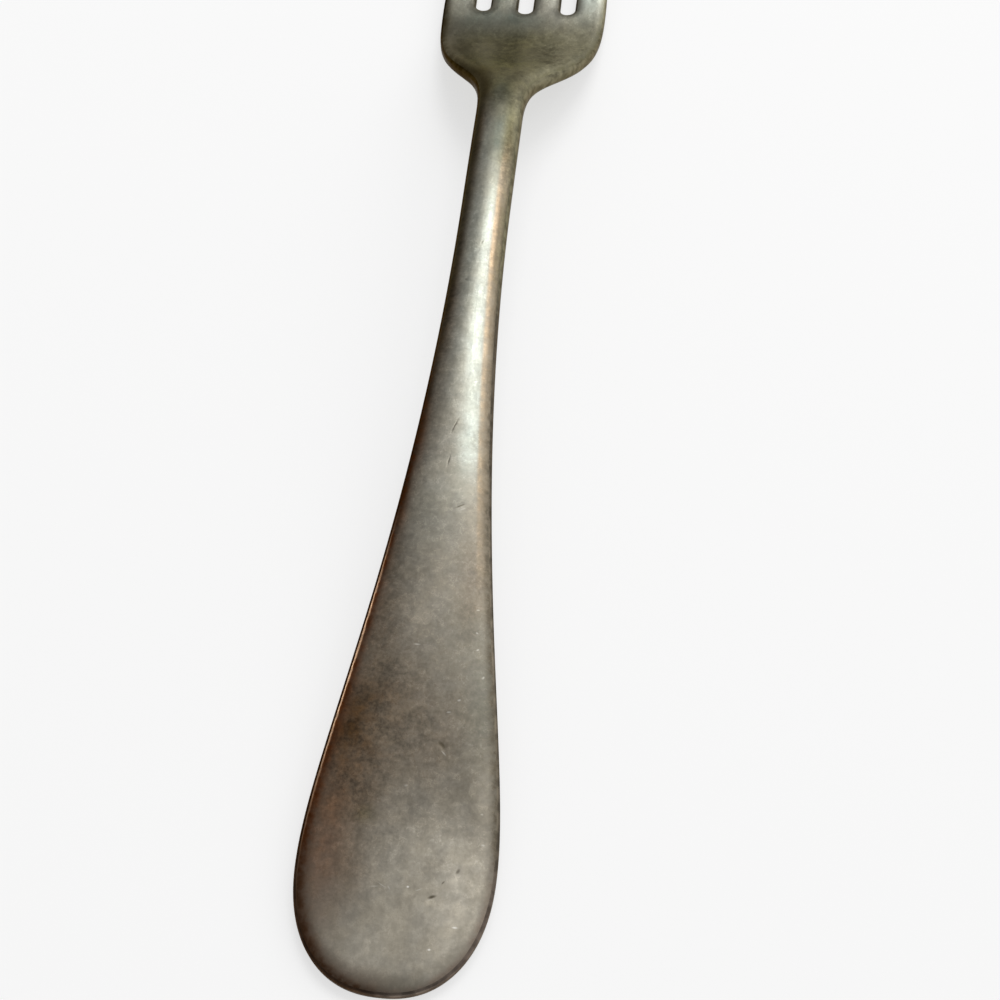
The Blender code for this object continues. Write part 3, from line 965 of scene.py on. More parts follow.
@dataclass(frozen=True)
class WearPattern:
    """Where use and age show, and where shade is painted: each cover goes from 0 to 1 over points in
    millimetres.
    """

    plan: ForkPlan
    middle_width: float = 6.0
    flank_line: Course = Course((46.0, 60.0, 70.0, 80.0, 92.0, 105.0, 114.0),
                                (5.1, 3.6, 2.8, 2.2, 1.65, 1.45, 1.6))
    flank_share: Course = Course((42.0, 50.0, 60.0, 70.0, 84.0, 92.0, 99.0, 105.0, 111.0),
                                 (0.0, 0.45, 0.70, 0.65, 0.70, 1.0, 0.9, 0.4, 0.0))
    flank_dull: Course = Course((46.0, 66.0, 80.0), (0.75, 0.6, 0.0))
    flank_fade: float = 0.45
    flank_width: float = 0.50
    flank_shade_fade: float = 0.5
    bright_rim: Course = Course((6.0, 15.0, 24.0, 30.0, 39.0, 47.0, 56.0),
                                (0.0, 0.15, 0.50, 0.95, 1.0, 0.45, 0.0))
    rust_share: Course = Course((0.0, 6.0, 20.0, 50.0, 66.0, 84.0), (0.5, 0.8, 0.9, 0.85, 0.5, 0.0))
    # A dark band along the left edge of the stem and neck: grime and painted shade of the side away from the
    # light.
    grime_and_shade_share: Course = Course((46.0, 56.0, 74.0, 116.0, 124.0), (0.0, 0.60, 0.75, 0.9, 0.0))
    grime_and_shade_reach: Course = Course((70.0, 84.0, 96.0, 106.0, 112.0, 120.0),
                                 (0.95, 1.15, 1.45, 1.60, 1.45, 1.20))
    rust_reach: Course = Course((0.0, 25.0, 42.0, 52.0, 84.0), (1.6, 1.5, 1.1, 0.8, 0.6))
    # The rim band of grime and painted shade: how strongly it shows, and how far in it reaches, wider on the
    # left, away from the light.
    rim_share: Course = Course((0.0, 16.0, 26.0, 62.0, 76.0, 112.0, 122.0, 134.0, 150.0, 200.0),
                               (0.90, 0.85, 0.85, 0.90, 0.45, 0.5, 0.90, 0.90, 0.8, 0.5))
    left_rim_reach: Course = Course((0.0, 2.0, 6.0, 14.0, 26.0, 40.0, 50.0, 112.0, 122.0, 134.0, 146.0),
                                    (0.9, 1.5, 2.3, 2.4, 1.7, 1.6, 1.3, 1.3, 2.2, 2.0, 1.4))
    right_rim_reach: Course = Course((0.0, 3.0, 12.0, 22.0, 112.0, 122.0), (0.9, 1.2, 1.4, 1.5, 1.5, 1.2))
    rim_start: float = 0.3
    end_start: float = 8.0
    end_run: float = 10.0
    slot_margin: float = 0.3
    slot_run: float = 0.8
    slot_start: float = 140.0
    pattern_length: Course = Course((0.0, 112.0, 124.0, 200.0), (0.0, 112.0, 121.0, 159.0))
    palm_start: float = 80.0
    palm_run: float = 14.0
    left_lead: float = 15.0

    def left(self, x: Array) -> Array:
        """1 on the left of the fork, 0 on the right, with a soft change over the middle."""
        return ease(0.5 - x / self.middle_width)

    def flank(self, x: Array, y: Array, past: float, fade: float) -> Array:
        """Cover of the stem's right side, where the silver is worn through, from a way past its line."""
        return ease((x - self.flank_line.at(y) - past) / fade + 0.5) * self.flank_share.at(y)

    def covers(self, x: Array, y: Array, side: Side) -> dict[str, Array]:
        """Find every cover.

        The rust of the left rim falls off with the square of the distance to the edge, and the grime with
        its fourth power; that band of grime is partly painted shade of the left side, away from the light.
        The stains of the back are the mirror image of the face's.

        Args:
            x: Places across the fork, in millimetres.
            y: Places along the fork, in millimetres.
            side: Which side the points are on.

        Returns:
            The covers by the name of the mesh attribute that carries them. With them go the distance to
            the edge in millimetres, and the place along the noises in metres.
        """
        covers = {kind.value: patches(stains, side.value * x, y) for kind, stains in FACE_STAINS.items()}
        left = self.left(x)
        edge = self.plan.edge_distance(x * MM, y * MM) / MM
        rust = left * self.rust_share.at(y) * np.exp(-(edge / self.rust_reach.at(y)) ** 2)
        covers[Tarnish.RUST.value] = np.maximum(covers[Tarnish.RUST.value], rust)
        # Grime and painted shade along the left edge.
        grime_and_shade = left * self.grime_and_shade_share.at(y) * np.exp(-(edge / self.grime_and_shade_reach.at(y)) ** 4)
        covers[Tarnish.GRIME_AND_SHADE.value] = np.maximum(covers[Tarnish.GRIME_AND_SHADE.value], grime_and_shade)
        covers["flank"] = self.flank(x, y, 0.0, self.flank_fade)
        shade = self.flank(x, y, self.flank_width, self.flank_shade_fade)
        covers["flank_shade"] = np.maximum(shade, self.flank_dull.at(y))
        covers["bright_rim"] = left * self.bright_rim.at(y)
        past_palm_start = y - self.palm_start + left * self.left_lead
        covers["palm_end"] = ease(past_palm_start / (self.palm_run * (1.0 + left)))
        covers["handle_end"] = 1.0 - ease((y - self.end_start) / self.end_run)
        to_outline = self.plan.half_width(y * MM) / MM - np.abs(x)
        covers["slot"] = ease((to_outline - edge - self.slot_margin) / self.slot_run) * (y > self.slot_start)
        covers["left"] = left
        # Cover of the rim band: grime and painted shade of the rolled edge.
        right_reach = self.right_rim_reach.at(y)
        reach = right_reach + (self.left_rim_reach.at(y) - right_reach) * left
        off_rim = ease((edge - self.rim_start) / (reach - self.rim_start))
        covers["rim"] = self.rim_share.at(y) * (1.0 - off_rim)
        covers["edge"] = edge
        covers["along"] = self.pattern_length.at(y) * MM
        return covers


@dataclass(frozen=True)
class Grain:
    """A noise: size of its features in metres, detail, roughness, shift, and scale along the fork."""

    size: float
    detail: float = 2.0
    roughness: float = 0.5
    shift: float = 0.0
    along: float = 1.0


class Wire:
    """A node's output that takes part in sums: each operator adds a Math node."""

    def __init__(self, shop: NodeShop, socket: bpy.types.NodeSocket) -> None:
        """Wrap an output socket of a node in the shop's tree."""
        self.shop = shop
        self.socket = socket

    def math(self, operation: str, first: Wire | float, second: Wire | float) -> Wire:
        """Add one Math node."""
        return self.shop.node("ShaderNodeMath", {"operation": operation}, {0: first, 1: second})

    def __add__(self, other: Wire | float) -> Wire:
        """Self plus other."""
        return self.math("ADD", self, other)

    def __radd__(self, other: float) -> Wire:
        """Other plus self."""
        return self.math("ADD", other, self)

    def __sub__(self, other: Wire | float) -> Wire:
        """Self less other."""
        return self.math("SUBTRACT", self, other)

    def __rsub__(self, other: float) -> Wire:
        """Other less self."""
        return self.math("SUBTRACT", other, self)

    def __mul__(self, other: Wire | float) -> Wire:
        """Self times other."""
        return self.math("MULTIPLY", self, other)

    def __rmul__(self, other: float) -> Wire:
        """Other times self."""
        return self.math("MULTIPLY", other, self)

    def __abs__(self) -> Wire:
        """Self without its sign."""
        return self.math("ABSOLUTE", self, 0.0)


class NodeShop:
    """Makes the nodes of one material or world."""

    def __init__(self, tree: bpy.types.NodeTree) -> None:
        """Start on an empty tree."""
        self.tree = tree
        tree.nodes.clear()

    @staticmethod
    def pick(sockets: Any, key: str | int) -> bpy.types.NodeSocket:
        """Find a socket.

        Args:
            sockets: A node's inputs or outputs.
            key: The socket's index, identifier or name.

        Returns:
            The socket.
        """
        if isinstance(key, int):
            return sockets[key]
        return next(socket for socket in sockets if key in (socket.identifier, socket.name))

    def node(self, kind: str, settings: dict[str, Any] | None = None,
             inputs: dict[str | int, Any] | None = None, output: str | int = 0) -> Wire | None:
        """Add a node.

        Args:
            kind: The node's type.
            settings: Its own settings, set first.
            inputs: A value or a wire for each named or numbered input.
            output: Which output to hand on.

        Returns:
            The output's wire, or nothing for a node that has none.
        """
        made = self.tree.nodes.new(kind)
        for name, value in (settings or {}).items():
            setattr(made, name, value)
        for key, value in (inputs or {}).items():
            socket = self.pick(made.inputs, key)
            if isinstance(value, Wire):
                self.tree.links.new(value.socket, socket)
            else:
                socket.default_value = value
        return Wire(self, self.pick(made.outputs, output)) if len(made.outputs) else None

    def attribute(self, name: str) -> Wire:
        """A number that the mesh carries at its points."""
        return self.node("ShaderNodeAttribute", {"attribute_name": name}, output="Fac")

    def moved(self, place: Wire, shift: float, along: float = 1.0) -> Wire:
        """The place, scaled along the fork and moved so that two patterns differ."""
        return self.node("ShaderNodeMapping", None,
                         {"Vector": place, "Scale": (1.0, along, 1.0), "Location": (shift,) * 3})

    def raw_noise(self, place: Wire, grain: Grain) -> Wire:
        """Make a soft noise.

        Args:
            place: Where it is read.
            grain: Its size and kind.

        Returns:
            The noise, which stays close about 0.5.
        """
        return self.node("ShaderNodeTexNoise", None,
                         {"Vector": self.moved(place, grain.shift, grain.along), "Scale": 1.0 / grain.size,
                          "Detail": grain.detail, "Roughness": grain.roughness})

    def noise(self, place: Wire, grain: Grain, spread: Span = NOISE_SPREAD) -> Wire:
        """Soft noise that is spread out over 0 to 1."""
        return self.ramp(self.raw_noise(place, grain), spread)

    def hairs(self, place: Wire, grain: Grain) -> Wire:
        """Thin crooked lines, 1 on them: where a noise crosses its middle value."""
        return 1.0 - self.ramp(abs(self.raw_noise(place, grain) - 0.5), (0.0, HAIR_WIDTH))

    def ramp(self, value: Wire, span: Span) -> Wire:
        """Go smoothly from 0 to 1 as the value goes over the span."""
        return self.node("ShaderNodeMapRange", {"interpolation_type": "SMOOTHSTEP"},
                         {"Value": value, "From Min": span[0], "From Max": span[1]})

    def between(self, share: Wire, ends: Span) -> Wire:
        """Go straight from one end to the other as the share goes from 0 to 1."""
        return ends[0] + (ends[1] - ends[0]) * share

    def blend(self, share: Wire | float, first: Wire | Colour, second: Wire | Colour,
              how: str = "MIX") -> Wire:
        """Mix two colours.

        Args:
            share: Share of the second colour.
            first: First colour.
            second: Second colour.
            how: The way in which they are mixed.

        Returns:
            The mixed colour.
        """
        first, second = ((*c, 1.0) if isinstance(c, tuple) else c for c in (first, second))
        return self.node("ShaderNodeMix", {"data_type": "RGBA", "blend_type": how, "clamp_factor": True},
                         {"Factor_Float": share, "A_Color": first, "B_Color": second}, "Result_Color")

    def metal(self, colour: Wire, rough: Wire, height: Wire, bump: float, grazing: Colour) -> None:
        """End a material as bare metal.

        Args:
            colour: What it reflects.
            rough: Its roughness.
            height: Its fine relief, from 0 to about 1.
            bump: How strongly the relief shows.
            grazing: Tint of what it reflects at a low angle.
        """
        normal = self.node("ShaderNodeBump", None,
                           {"Strength": bump, "Distance": BUMP_DISTANCE, "Height": height})
        shader = self.node("ShaderNodeBsdfPrincipled", None,
                           {"Base Color": colour, "Metallic": 1.0, "Roughness": rough, "Normal": normal,
                            "Specular Tint": (*grazing, 1.0)})
        self.node("ShaderNodeOutputMaterial", None, {"Surface": shader})


def new_material(name: str) -> tuple[bpy.types.Material, NodeShop]:
    """Make an empty material.

    Args:
        name: The material's name.

    Returns:
        The material, and the shop that makes its nodes.
    """
    material = bpy.data.materials.new(name)
    material.use_nodes = True
    return material, NodeShop(material.node_tree)


@dataclass(frozen=True)
class RimGrimeAndShade:
    """Colours of the rim band, left and right: at the handle's end, along it, at the palm, by the slots.
    They are grime and painted shade of the rolled edge, darker on the left, away from the light.
    """

    end_left: Colour
    end_right: Colour
    handle_left: Colour
    handle_right: Colour
    palm_left: Colour
    palm_right: Colour
    slot: Colour

    def colour(self, shop: NodeShop) -> Wire:
        """Mix them by what the mesh carries: how far each point is to the left, and near which place.

        Args:
            shop: Where the nodes are made.

        Returns:
            The mixed colour.
        """
        left = shop.attribute("left")
        handle = shop.blend(left, self.handle_right, self.handle_left)
        end = shop.blend(left, self.end_right, self.end_left)
        palm = shop.blend(left, self.palm_right, self.palm_left)
        colour = shop.blend(shop.attribute("handle_end"), handle, end)
        colour = shop.blend(shop.attribute("palm_end"), colour, palm)
        return shop.blend(shop.attribute("slot"), colour, self.slot)


# The wall of the bare edge: painted shade for its dark reflection, darkest on the left; painted lighter at
# the handle end's right, the palm's right and by the slots, so that it matches the face beside it.
WALL_GRIME_AND_SHADE = RimGrimeAndShade(
    end_left=(0.062, 0.036, 0.022),
    end_right=(0.165, 0.132, 0.108),
    handle_left=(0.036, 0.017, 0.008),
    handle_right=(0.120, 0.102, 0.076),
    palm_left=(0.034, 0.027, 0.016),
    palm_right=(0.205, 0.190, 0.125),
    slot=(0.150, 0.140, 0.105),
)
# The silver's rim band: grime and painted shade of the rolled edge, darkest on the left, away from the
# light; painted lighter at the handle end's right and by the slots, against the edge's own shade.
RIM_GRIME_AND_SHADE = RimGrimeAndShade(
    end_left=(0.085, 0.042, 0.021),
    end_right=(0.300, 0.245, 0.195),
    handle_left=(0.080, 0.024, 0.006),
    handle_right=(0.100, 0.086, 0.063),
    palm_left=(0.045, 0.036, 0.020),
    palm_right=(0.205, 0.192, 0.120),
    slot=(0.220, 0.210, 0.170),
)


@dataclass(frozen=True)
class BaseMetalFinish:
    """Bare base metal: copper-coloured along the rubbed rim, elsewhere darkened by grime and painted shade.
    """

    tints: RimGrimeAndShade
    bright: Colour = (0.95, 0.63, 0.40)
    grazing: Colour = (0.50, 0.45, 0.40)
    roughness: float = 0.34
    rough_share: float = 0.06
    bump: float = 0.10
    wall_line: Span = (0.27, 0.36)
    rubbed_shares: Span = (0.4, 1.2)
    grimy_and_shaded_shares: Span = (0.7, 1.3)
    mottle: Grain = Grain(1.1 * MM, 3.0)
    fine: Grain = Grain(0.25 * MM)

    def colour(self, shop: NodeShop, mottle: Wire) -> Wire:
        """Colour of the bare metal.

        Args:
            shop: Where the nodes are made.
            mottle: Quick noise from 0 to 1.

        Returns:
            Metal darkened by grime and painted shade, bright along the rubbed rim but for the edge's own
            wall.
        """
        # The edge's own wall keeps its darker tint, painted shade for what it reflects.
        off_wall = shop.ramp(shop.attribute("edge"), self.wall_line)
        rubbed = shop.attribute("bright_rim") * off_wall * shop.between(mottle, self.rubbed_shares)
        grimy_and_shaded = shop.node("ShaderNodeVectorMath", {"operation": "SCALE"},
                          {0: self.tints.colour(shop), "Scale": shop.between(mottle, self.grimy_and_shaded_shares)})
        return shop.blend(rubbed, grimy_and_shaded, self.bright)

    def material(self, name: str) -> bpy.types.Material:
        """Make the finish of the blank.

        Args:
            name: The material's name.

        Returns:
            The material.
        """
        material, shop = new_material(name)
        place = shop.node("ShaderNodeTexCoord", output="Object")
        fine = shop.noise(place, self.fine)
        rough = self.roughness + self.rough_share * (fine - 0.5)
        colour = self.colour(shop, shop.noise(place, self.mottle))
        shop.metal(colour, rough, fine, self.bump, self.grazing)
        return material


@dataclass(frozen=True)
class SilverGrains:
    """Noises of the silver, from broad blotches to fine grain, streaks and thin crooked lines."""

    blotch: Grain = Grain(5.0 * MM, 4.0, 0.6)
    patch: Grain = Grain(2.6 * MM, 4.0, 0.6, 0.37)
    warm: Grain = Grain(2.2 * MM, shift=0.11)
    mottle: Grain = Grain(1.0 * MM, 2.5, 0.6)
    fine: Grain = Grain(0.40 * MM, 2.0, 0.6)
    streak: Grain = Grain(0.22 * MM, along=0.06)
    hair: Grain = Grain(0.9 * MM, 3.0, 0.6)
    scuff: Grain = Grain(1.3 * MM, 3.0, 0.6, 0.23)
    patch_spread: Span = (0.45, 0.55)
    hair_mottle: Span = (0.2, 0.8)
    scuff_mottle: Span = (0.35, 0.8)


class SilverNoise:
    """The noises laid over one side's silver, each from 0 to 1."""

    def __init__(self, shop: NodeShop, grains: SilverGrains, shift: float) -> None:
        """Lay the noises by the place across and up, and by the mesh's own place along them.

        Args:
            shop: Where the nodes are made.
            grains: Their sizes.
            shift: How far all of them are moved, so that the two sides differ.
        """
        self.place = shop.node("ShaderNodeTexCoord", output="Object")
        across_and_up = {axis: shop.node("ShaderNodeSeparateXYZ", None, {"Vector": self.place}, axis)
                         for axis in "XZ"}
        spread = shop.node("ShaderNodeCombineXYZ", None, {**across_and_up, "Y": shop.attribute("along")})
        over = shop.moved(spread, shift)
        self.blotch = shop.noise(over, grains.blotch)
        self.patch = shop.noise(over, grains.patch, grains.patch_spread)
        self.warm = shop.noise(over, grains.warm)
        self.mottle = shop.noise(over, grains.mottle)
        self.fine = shop.noise(over, grains.fine)
        self.streak = shop.noise(over, grains.streak)
        self.hair = shop.hairs(over, grains.hair) * shop.ramp(self.mottle, grains.hair_mottle)
        self.scuff = shop.hairs(over, grains.scuff) * shop.ramp(self.mottle, grains.scuff_mottle)


@dataclass(frozen=True)
class ToneShares:
    """How strongly each noise shows in the silver's brightness, and how that changes with the place."""

    level: float = 0.98
    blotch: float = 0.08
    mottle: float = 0.15
    patch: float = 0.10
    fine: float = 0.13
    gain: float = 0.85
    end_gain: float = -0.30
    brown_gain: float = 1.9
    olive_gain: float = 0.9
    cool_gain: float = 0.35
    scuff: float = 0.22
    end_scuff: float = -0.14
    warm_red: float = 0.015
    warm_blue: float = -0.03

    def tone(self, shop: NodeShop, noise: SilverNoise) -> Wire:
        """Find what the silver's colour is multiplied by.

        The noises are summed by their shares, less half of what these add up to. That sum is scaled by
        the gain at each place, and the scuffs are added to it.

        Args:
            shop: Where the nodes are made.
            noise: The noises.

        Returns:
            A near-grey colour about the level, a little redder or bluer with the warm noise.
        """
        end = shop.attribute("handle_end")
        gain = (self.gain + self.end_gain * end
                + self.brown_gain * shop.attribute(Tarnish.BROWN.value)
                + self.olive_gain * shop.attribute(Tarnish.OLIVE.value)
                + self.cool_gain * shop.attribute(Tarnish.COOL_AND_SHEEN.value))
        middle = (self.blotch + self.mottle + self.patch + self.fine) / 2
        sway = (self.blotch * noise.blotch + self.mottle * noise.mottle
                + self.patch * noise.patch + self.fine * noise.fine - middle)
        tone = self.level + gain * sway + (self.scuff + self.end_scuff * end) * noise.scuff
        warm = noise.warm - 0.5
        return shop.node("ShaderNodeCombineColor", None,
                         {"Red": tone * (1.0 + self.warm_red * warm), "Green": tone,
                          "Blue": tone * (1.0 + self.warm_blue * warm)})


@dataclass(frozen=True)
class TarnishedSilver:
    """Old silver plate: satin grey under tarnish of several colours, worn through to base metal, with some
    highlight, glint and shade painted into its colour.
    """

    base_metal: BaseMetalFinish
    tints: RimGrimeAndShade
    nicks: tuple[Nick, ...] = ()
    shift: float = 0.0
    dull: Colour = (0.235, 0.213, 0.172)
    pale: Colour = (0.50, 0.46, 0.38)
    # Cool grey silver, which also carries painted highlight on the stem and on a tine.
    cool_and_sheen: Colour = (0.360, 0.388, 0.345)
    olive: Colour = (0.196, 0.182, 0.092)
    straw: Colour = (0.400, 0.380, 0.265)
    slate: Colour = (0.090, 0.098, 0.080)
    brown: Colour = (0.088, 0.052, 0.026)
    rust: Colour = (0.155, 0.060, 0.023)
    # The dark of grime, which also paints shade.
    grime_and_shade: Colour = (0.042, 0.032, 0.014)
    worn_through: Colour = (0.43, 0.325, 0.215)
    worn_edge: Colour = (0.190, 0.150, 0.098)
    # Bright flecks on the nicks: partly rubbed-bright silver, partly a painted glint.
    glint_fleck: Colour = (0.84, 0.82, 0.76)
    grazing: Colour = (0.60, 0.57, 0.50)
    grains: SilverGrains = SilverGrains()
    tones: ToneShares = ToneShares()
    patchy: float = 0.4
    blotch_share: float = 0.7
    flank_shares: Span = (0.8, 1.2)
    rim_shares: Span = (0.6, 1.4)
    bare_shares: Span = (0.5, 1.1)
    bare_line: Span = (0.41, 0.54)
    bare_waver: float = 0.12
    mark_fade: Span = (0.2, 1.15)
    full_depth: float = 0.04
    pit_cover: float = 0.75
    glint_fleck_cover: float = 0.85
    hair_cover: float = 0.12
    brown_hair_cover: float = 0.30
    roughness: float = 0.36
    rough_share: float = 0.05
    bump: float = 0.08
    fine_relief: float = 0.5
    streak_relief: float = 0.35
    mottle_relief: float = 0.6
    pit_relief: float = 1.5

    def tarnish(self, shop: NodeShop, noise: SilverNoise) -> Wire:
        """Colour of the silver under its tarnish.

        Args:
            shop: Where the nodes are made.
            noise: The noises, two of which make the covers of the stains patchy.

        Returns:
            Dull silver, stained by each kind of tarnish in turn.
        """
        uneven = self.blotch_share * noise.blotch + (1.0 - self.blotch_share) * noise.mottle - 0.5
        patchy = 1.0 + self.patchy * uneven
        colour = self.dull
        for kind in Tarnish:
            colour = shop.blend(shop.attribute(kind.value) * patchy, colour, getattr(self, kind.value))
        return colour

    def wear(self, shop: NodeShop, colour: Wire, mottle: Wire) -> Wire:
        """Colour with the silver worn away.

        Args:
            shop: Where the nodes are made.
            colour: The tarnished silver.
            mottle: Quick noise from 0 to 1.

        Returns:
            The colour with base metal on the stem's right side, a rim darkened by grime and painted shade,
            and a bright one at the left.
        """
        flank = shop.attribute("flank") * shop.between(mottle, self.flank_shares)
        worn = shop.blend(shop.attribute("flank_shade"), self.worn_through, self.worn_edge)
        colour = shop.blend(flank, colour, worn)
        # The rim band: grime and painted shade of the rolled edge.
        rim = shop.attribute("rim") * shop.between(mottle, self.rim_shares)
        colour = shop.blend(rim, colour, self.tints.colour(shop))
        wavering = shop.attribute("edge") + self.bare_waver * (mottle - 0.5)
        bare = (1.0 - shop.ramp(wavering, self.bare_line)) * shop.between(mottle, self.bare_shares)
        return shop.blend(bare * shop.attribute("bright_rim"), colour, self.base_metal.bright)

    def marks(self, shop: NodeShop, place: Wire, mark: Mark) -> Wire | float:
        """Cover of the nicks with one look.

        Each one is an oval: the place is turned and scaled so that the oval becomes a ball of radius 1.

        Args:
            shop: Where the nodes are made.
            place: The point on the piece.
            mark: Which nicks.

        Returns:
            The cover, 0 where there are none.
        """
        cover: Wire | float = 0.0
        for nick in (nick for nick in self.nicks if nick.mark is mark):
            middle = (nick.x * MM, nick.y * MM + CAD_BOX[0].y, 0.0)
            half = (nick.length / 2 * MM, nick.width / 2 * MM, 1.0)
            inside = shop.node("ShaderNodeMapping", {"vector_type": "TEXTURE"},
                               {"Vector": place, "Location": middle, "Scale": half,
                                "Rotation": (0.0, 0.0, math.radians(nick.turn))})
            reach = shop.node("ShaderNodeVectorMath", {"operation": "LENGTH"}, {0: inside}, "Value")
            strength = min(1.0, nick.depth / self.full_depth)
            cover = cover + strength * (1.0 - shop.ramp(reach, self.mark_fade))
        return cover

    def material(self, name: str) -> bpy.types.Material:
        """Make the finish of one side's silver.

        Args:
            name: The material's name.

        Returns:
            The material.
        """
        material, shop = new_material(name)
        noise = SilverNoise(shop, self.grains, self.shift)
        brown = shop.attribute(Tarnish.BROWN.value)
        colour = self.wear(shop, self.tarnish(shop, noise), noise.mottle)
        hair = noise.hair * (self.hair_cover + self.brown_hair_cover * brown)
        colour = shop.blend(hair, colour, self.brown)
        colour = shop.blend(1.0, colour, self.tones.tone(shop, noise), "MULTIPLY")
        # Dirt and painted shade: the pits are darkened towards the dark of the grime.
        pit = self.marks(shop, noise.place, Mark.PIT)
        colour = shop.blend(self.pit_cover * pit, colour, self.grime_and_shade)
        # Painted glints, partly rubbed-bright silver: the flecks lighten the colour over the nicks.
        glint_fleck = self.marks(shop, noise.place, Mark.GLINT_FLECK)
        colour = shop.blend(self.glint_fleck_cover * glint_fleck, colour, self.glint_fleck)
        rough = self.roughness + self.rough_share * (brown + noise.mottle + noise.streak - 1.0)
        height = (self.fine_relief * noise.fine + self.streak_relief * noise.streak
                  + self.mottle_relief * noise.mottle - self.pit_relief * pit)
        shop.metal(colour, rough, height, self.bump, self.grazing)
        return material


@dataclass(frozen=True)
class Fork:
    """What every piece of the fork is made from: its form, its wear and where it lies."""

    form: ForkForm
    wear: WearPattern
    rim_wear: float = 0.35 * MM
    silver_depth: float = 0.15 * MM
    silver_edge_depth: float = 0.02 * MM
    silver_fade: float = 1.2 * MM
    bond_gap: float = 0.01 * MM

    @property
    def plan(self) -> ForkPlan:
        """The fork's plan."""
        return self.form.plan

    def silver(self, x: Array, y: Array) -> Array:
        """Thickness of the silver: it eases from a thin edge at the worn rim to the full plate."""
        share = ease((self.plan.edge_distance(x, y) - self.rim_wear) / self.silver_fade)
        return self.silver_edge_depth + (self.silver_depth - self.silver_edge_depth) * share

    def close(self, name: str, side: Side, upper: Sheet, upper_z: Array,
              lower: Sheet, lower_z: Array) -> bpy.types.Object:
        """Make a closed piece of an upper and a lower sheet with the same rim.

        Walls of two triangles join each rim edge of the upper sheet to the points under it, which are
        found by their places. Every point then gets its distance to the edge and the covers of wear.

        Args:
            name: The piece's name.
            side: Which side's wear it shows.
            upper: Sheet that looks up.
            upper_z: Height of its points.
            lower: Sheet that looks down.
            lower_z: Height of its points.

        Returns:
            The piece, at the origin, with its place in its mesh.
        """
        rim = upper.rim()
        under = np.searchsorted(lower.places, upper.places[rim]) + len(upper.points)
        walls = [np.stack([rim[:, 1], rim[:, 0], under[:, 0]], axis=1),
                 np.stack([rim[:, 1], under[:, 0], under[:, 1]], axis=1)]
        faces = np.concatenate([upper.faces, lower.faces[:, ::-1] + len(upper.points), *walls])
        plan_points = np.concatenate([upper.points, lower.points])
        x, y = plan_points.T
        places = np.stack([x, y + CAD_BOX[0].y, np.concatenate([upper_z, lower_z])], axis=1)
        mesh = bpy.data.meshes.new(name)
        mesh.from_pydata(places.tolist(), [], faces.tolist())
        mesh.shade_smooth()
        mesh.set_sharp_from_angle(angle=SHARP_ANGLE)
        for cover, values in self.wear.covers(x / MM, y / MM, side).items():
            mesh.attributes.new(cover, "FLOAT", "POINT").data.foreach_set("value", values.astype(np.float32))
        piece = bpy.data.objects.new(name, mesh)
        bpy.context.scene.collection.objects.link(piece)
        return piece


@dataclass(frozen=True)
class WornBlank:
    """The stamped blank, which shows as a bare rim between the two sheets of silver."""

    fork: Fork
    divisions: Divisions
    back_columns: int = 14
    node: str = "base_metal_blank"
    slot: str = "base_metal"
    name: str = "worn_blank"

    def build(self) -> bpy.types.Object:
        """Make the blank: both sides lie under the silver by its thickness and the bond.

        Returns:
            The piece.
        """
        fork = self.fork
        strips = Strips(fork.plan, self.divisions, 0.0)
        face, back = strips.sheet(self.divisions.columns), strips.sheet(self.back_columns)
        face_z, back_z = (fork.form.surface(side, x, y, fork.silver(x, y) + fork.bond_gap)
                          for side, (x, y) in ((Side.FACE, face.points.T), (Side.BACK, back.points.T)))
        return fork.close(self.name, Side.FACE, face, face_z, back, back_z)

    def dress(self, piece: bpy.types.Object, finish: BaseMetalFinish) -> None:
        """Give the blank its finish."""
        piece.data.materials.append(finish.material("worn_base_metal"))


@dataclass(frozen=True)
class SilverSkin:
    """The silver that is left on one side of the blank."""

    fork: Fork
    divisions: Divisions
    side: Side
    node: str
    slot: str
    name: str

    def build(self) -> bpy.types.Object:
        """Make the skin: a fine sheet outside and a plainer one against the blank, with one rim.

        Returns:
            The piece.
        """
        fork = self.fork
        strips = Strips(fork.plan, self.divisions, fork.rim_wear)
        outside = strips.sheet(self.divisions.columns)
        inside = strips.sheet(self.divisions.hidden_columns)
        outside_z = fork.form.surface(self.side, *outside.points.T)
        inside_z = fork.form.surface(self.side, *inside.points.T, fork.silver(*inside.points.T))
        if self.side is Side.FACE:
            return fork.close(self.name, self.side, outside, outside_z, inside, inside_z)
        return fork.close(self.name, self.side, inside, inside_z, outside, outside_z)

    def dress(self, piece: bpy.types.Object, finish: TarnishedSilver) -> None:
        """Give the skin its finish."""
        piece.data.materials.append(finish.material("tarnished_" + self.slot))


@dataclass(frozen=True)
class Softbox:
    """An area lamp: its middle, its two sides in metres, and how bright its surface is, 1 for white."""

    name: str
    place: tuple[float, float, float]
    width: float
    depth: float
    brightness: float

    def hang(self, target: Vector) -> None:
        """Add the lamp; its power is its brightness times pi times its area.

        Args:
            target: The point that the lamp is turned to.
        """
        lamp = bpy.data.lights.new(self.name, "AREA")
        lamp.shape = "RECTANGLE"
        lamp.size = self.width
        lamp.size_y = self.depth
        lamp.energy = self.brightness * math.pi * self.width * self.depth
        lamp_object = bpy.data.objects.new(self.name, lamp)
        lamp_object.location = self.place
        lamp_object.rotation_euler = (target - Vector(self.place)).to_track_quat("-Z", "Y").to_euler()
        bpy.context.scene.collection.objects.link(lamp_object)


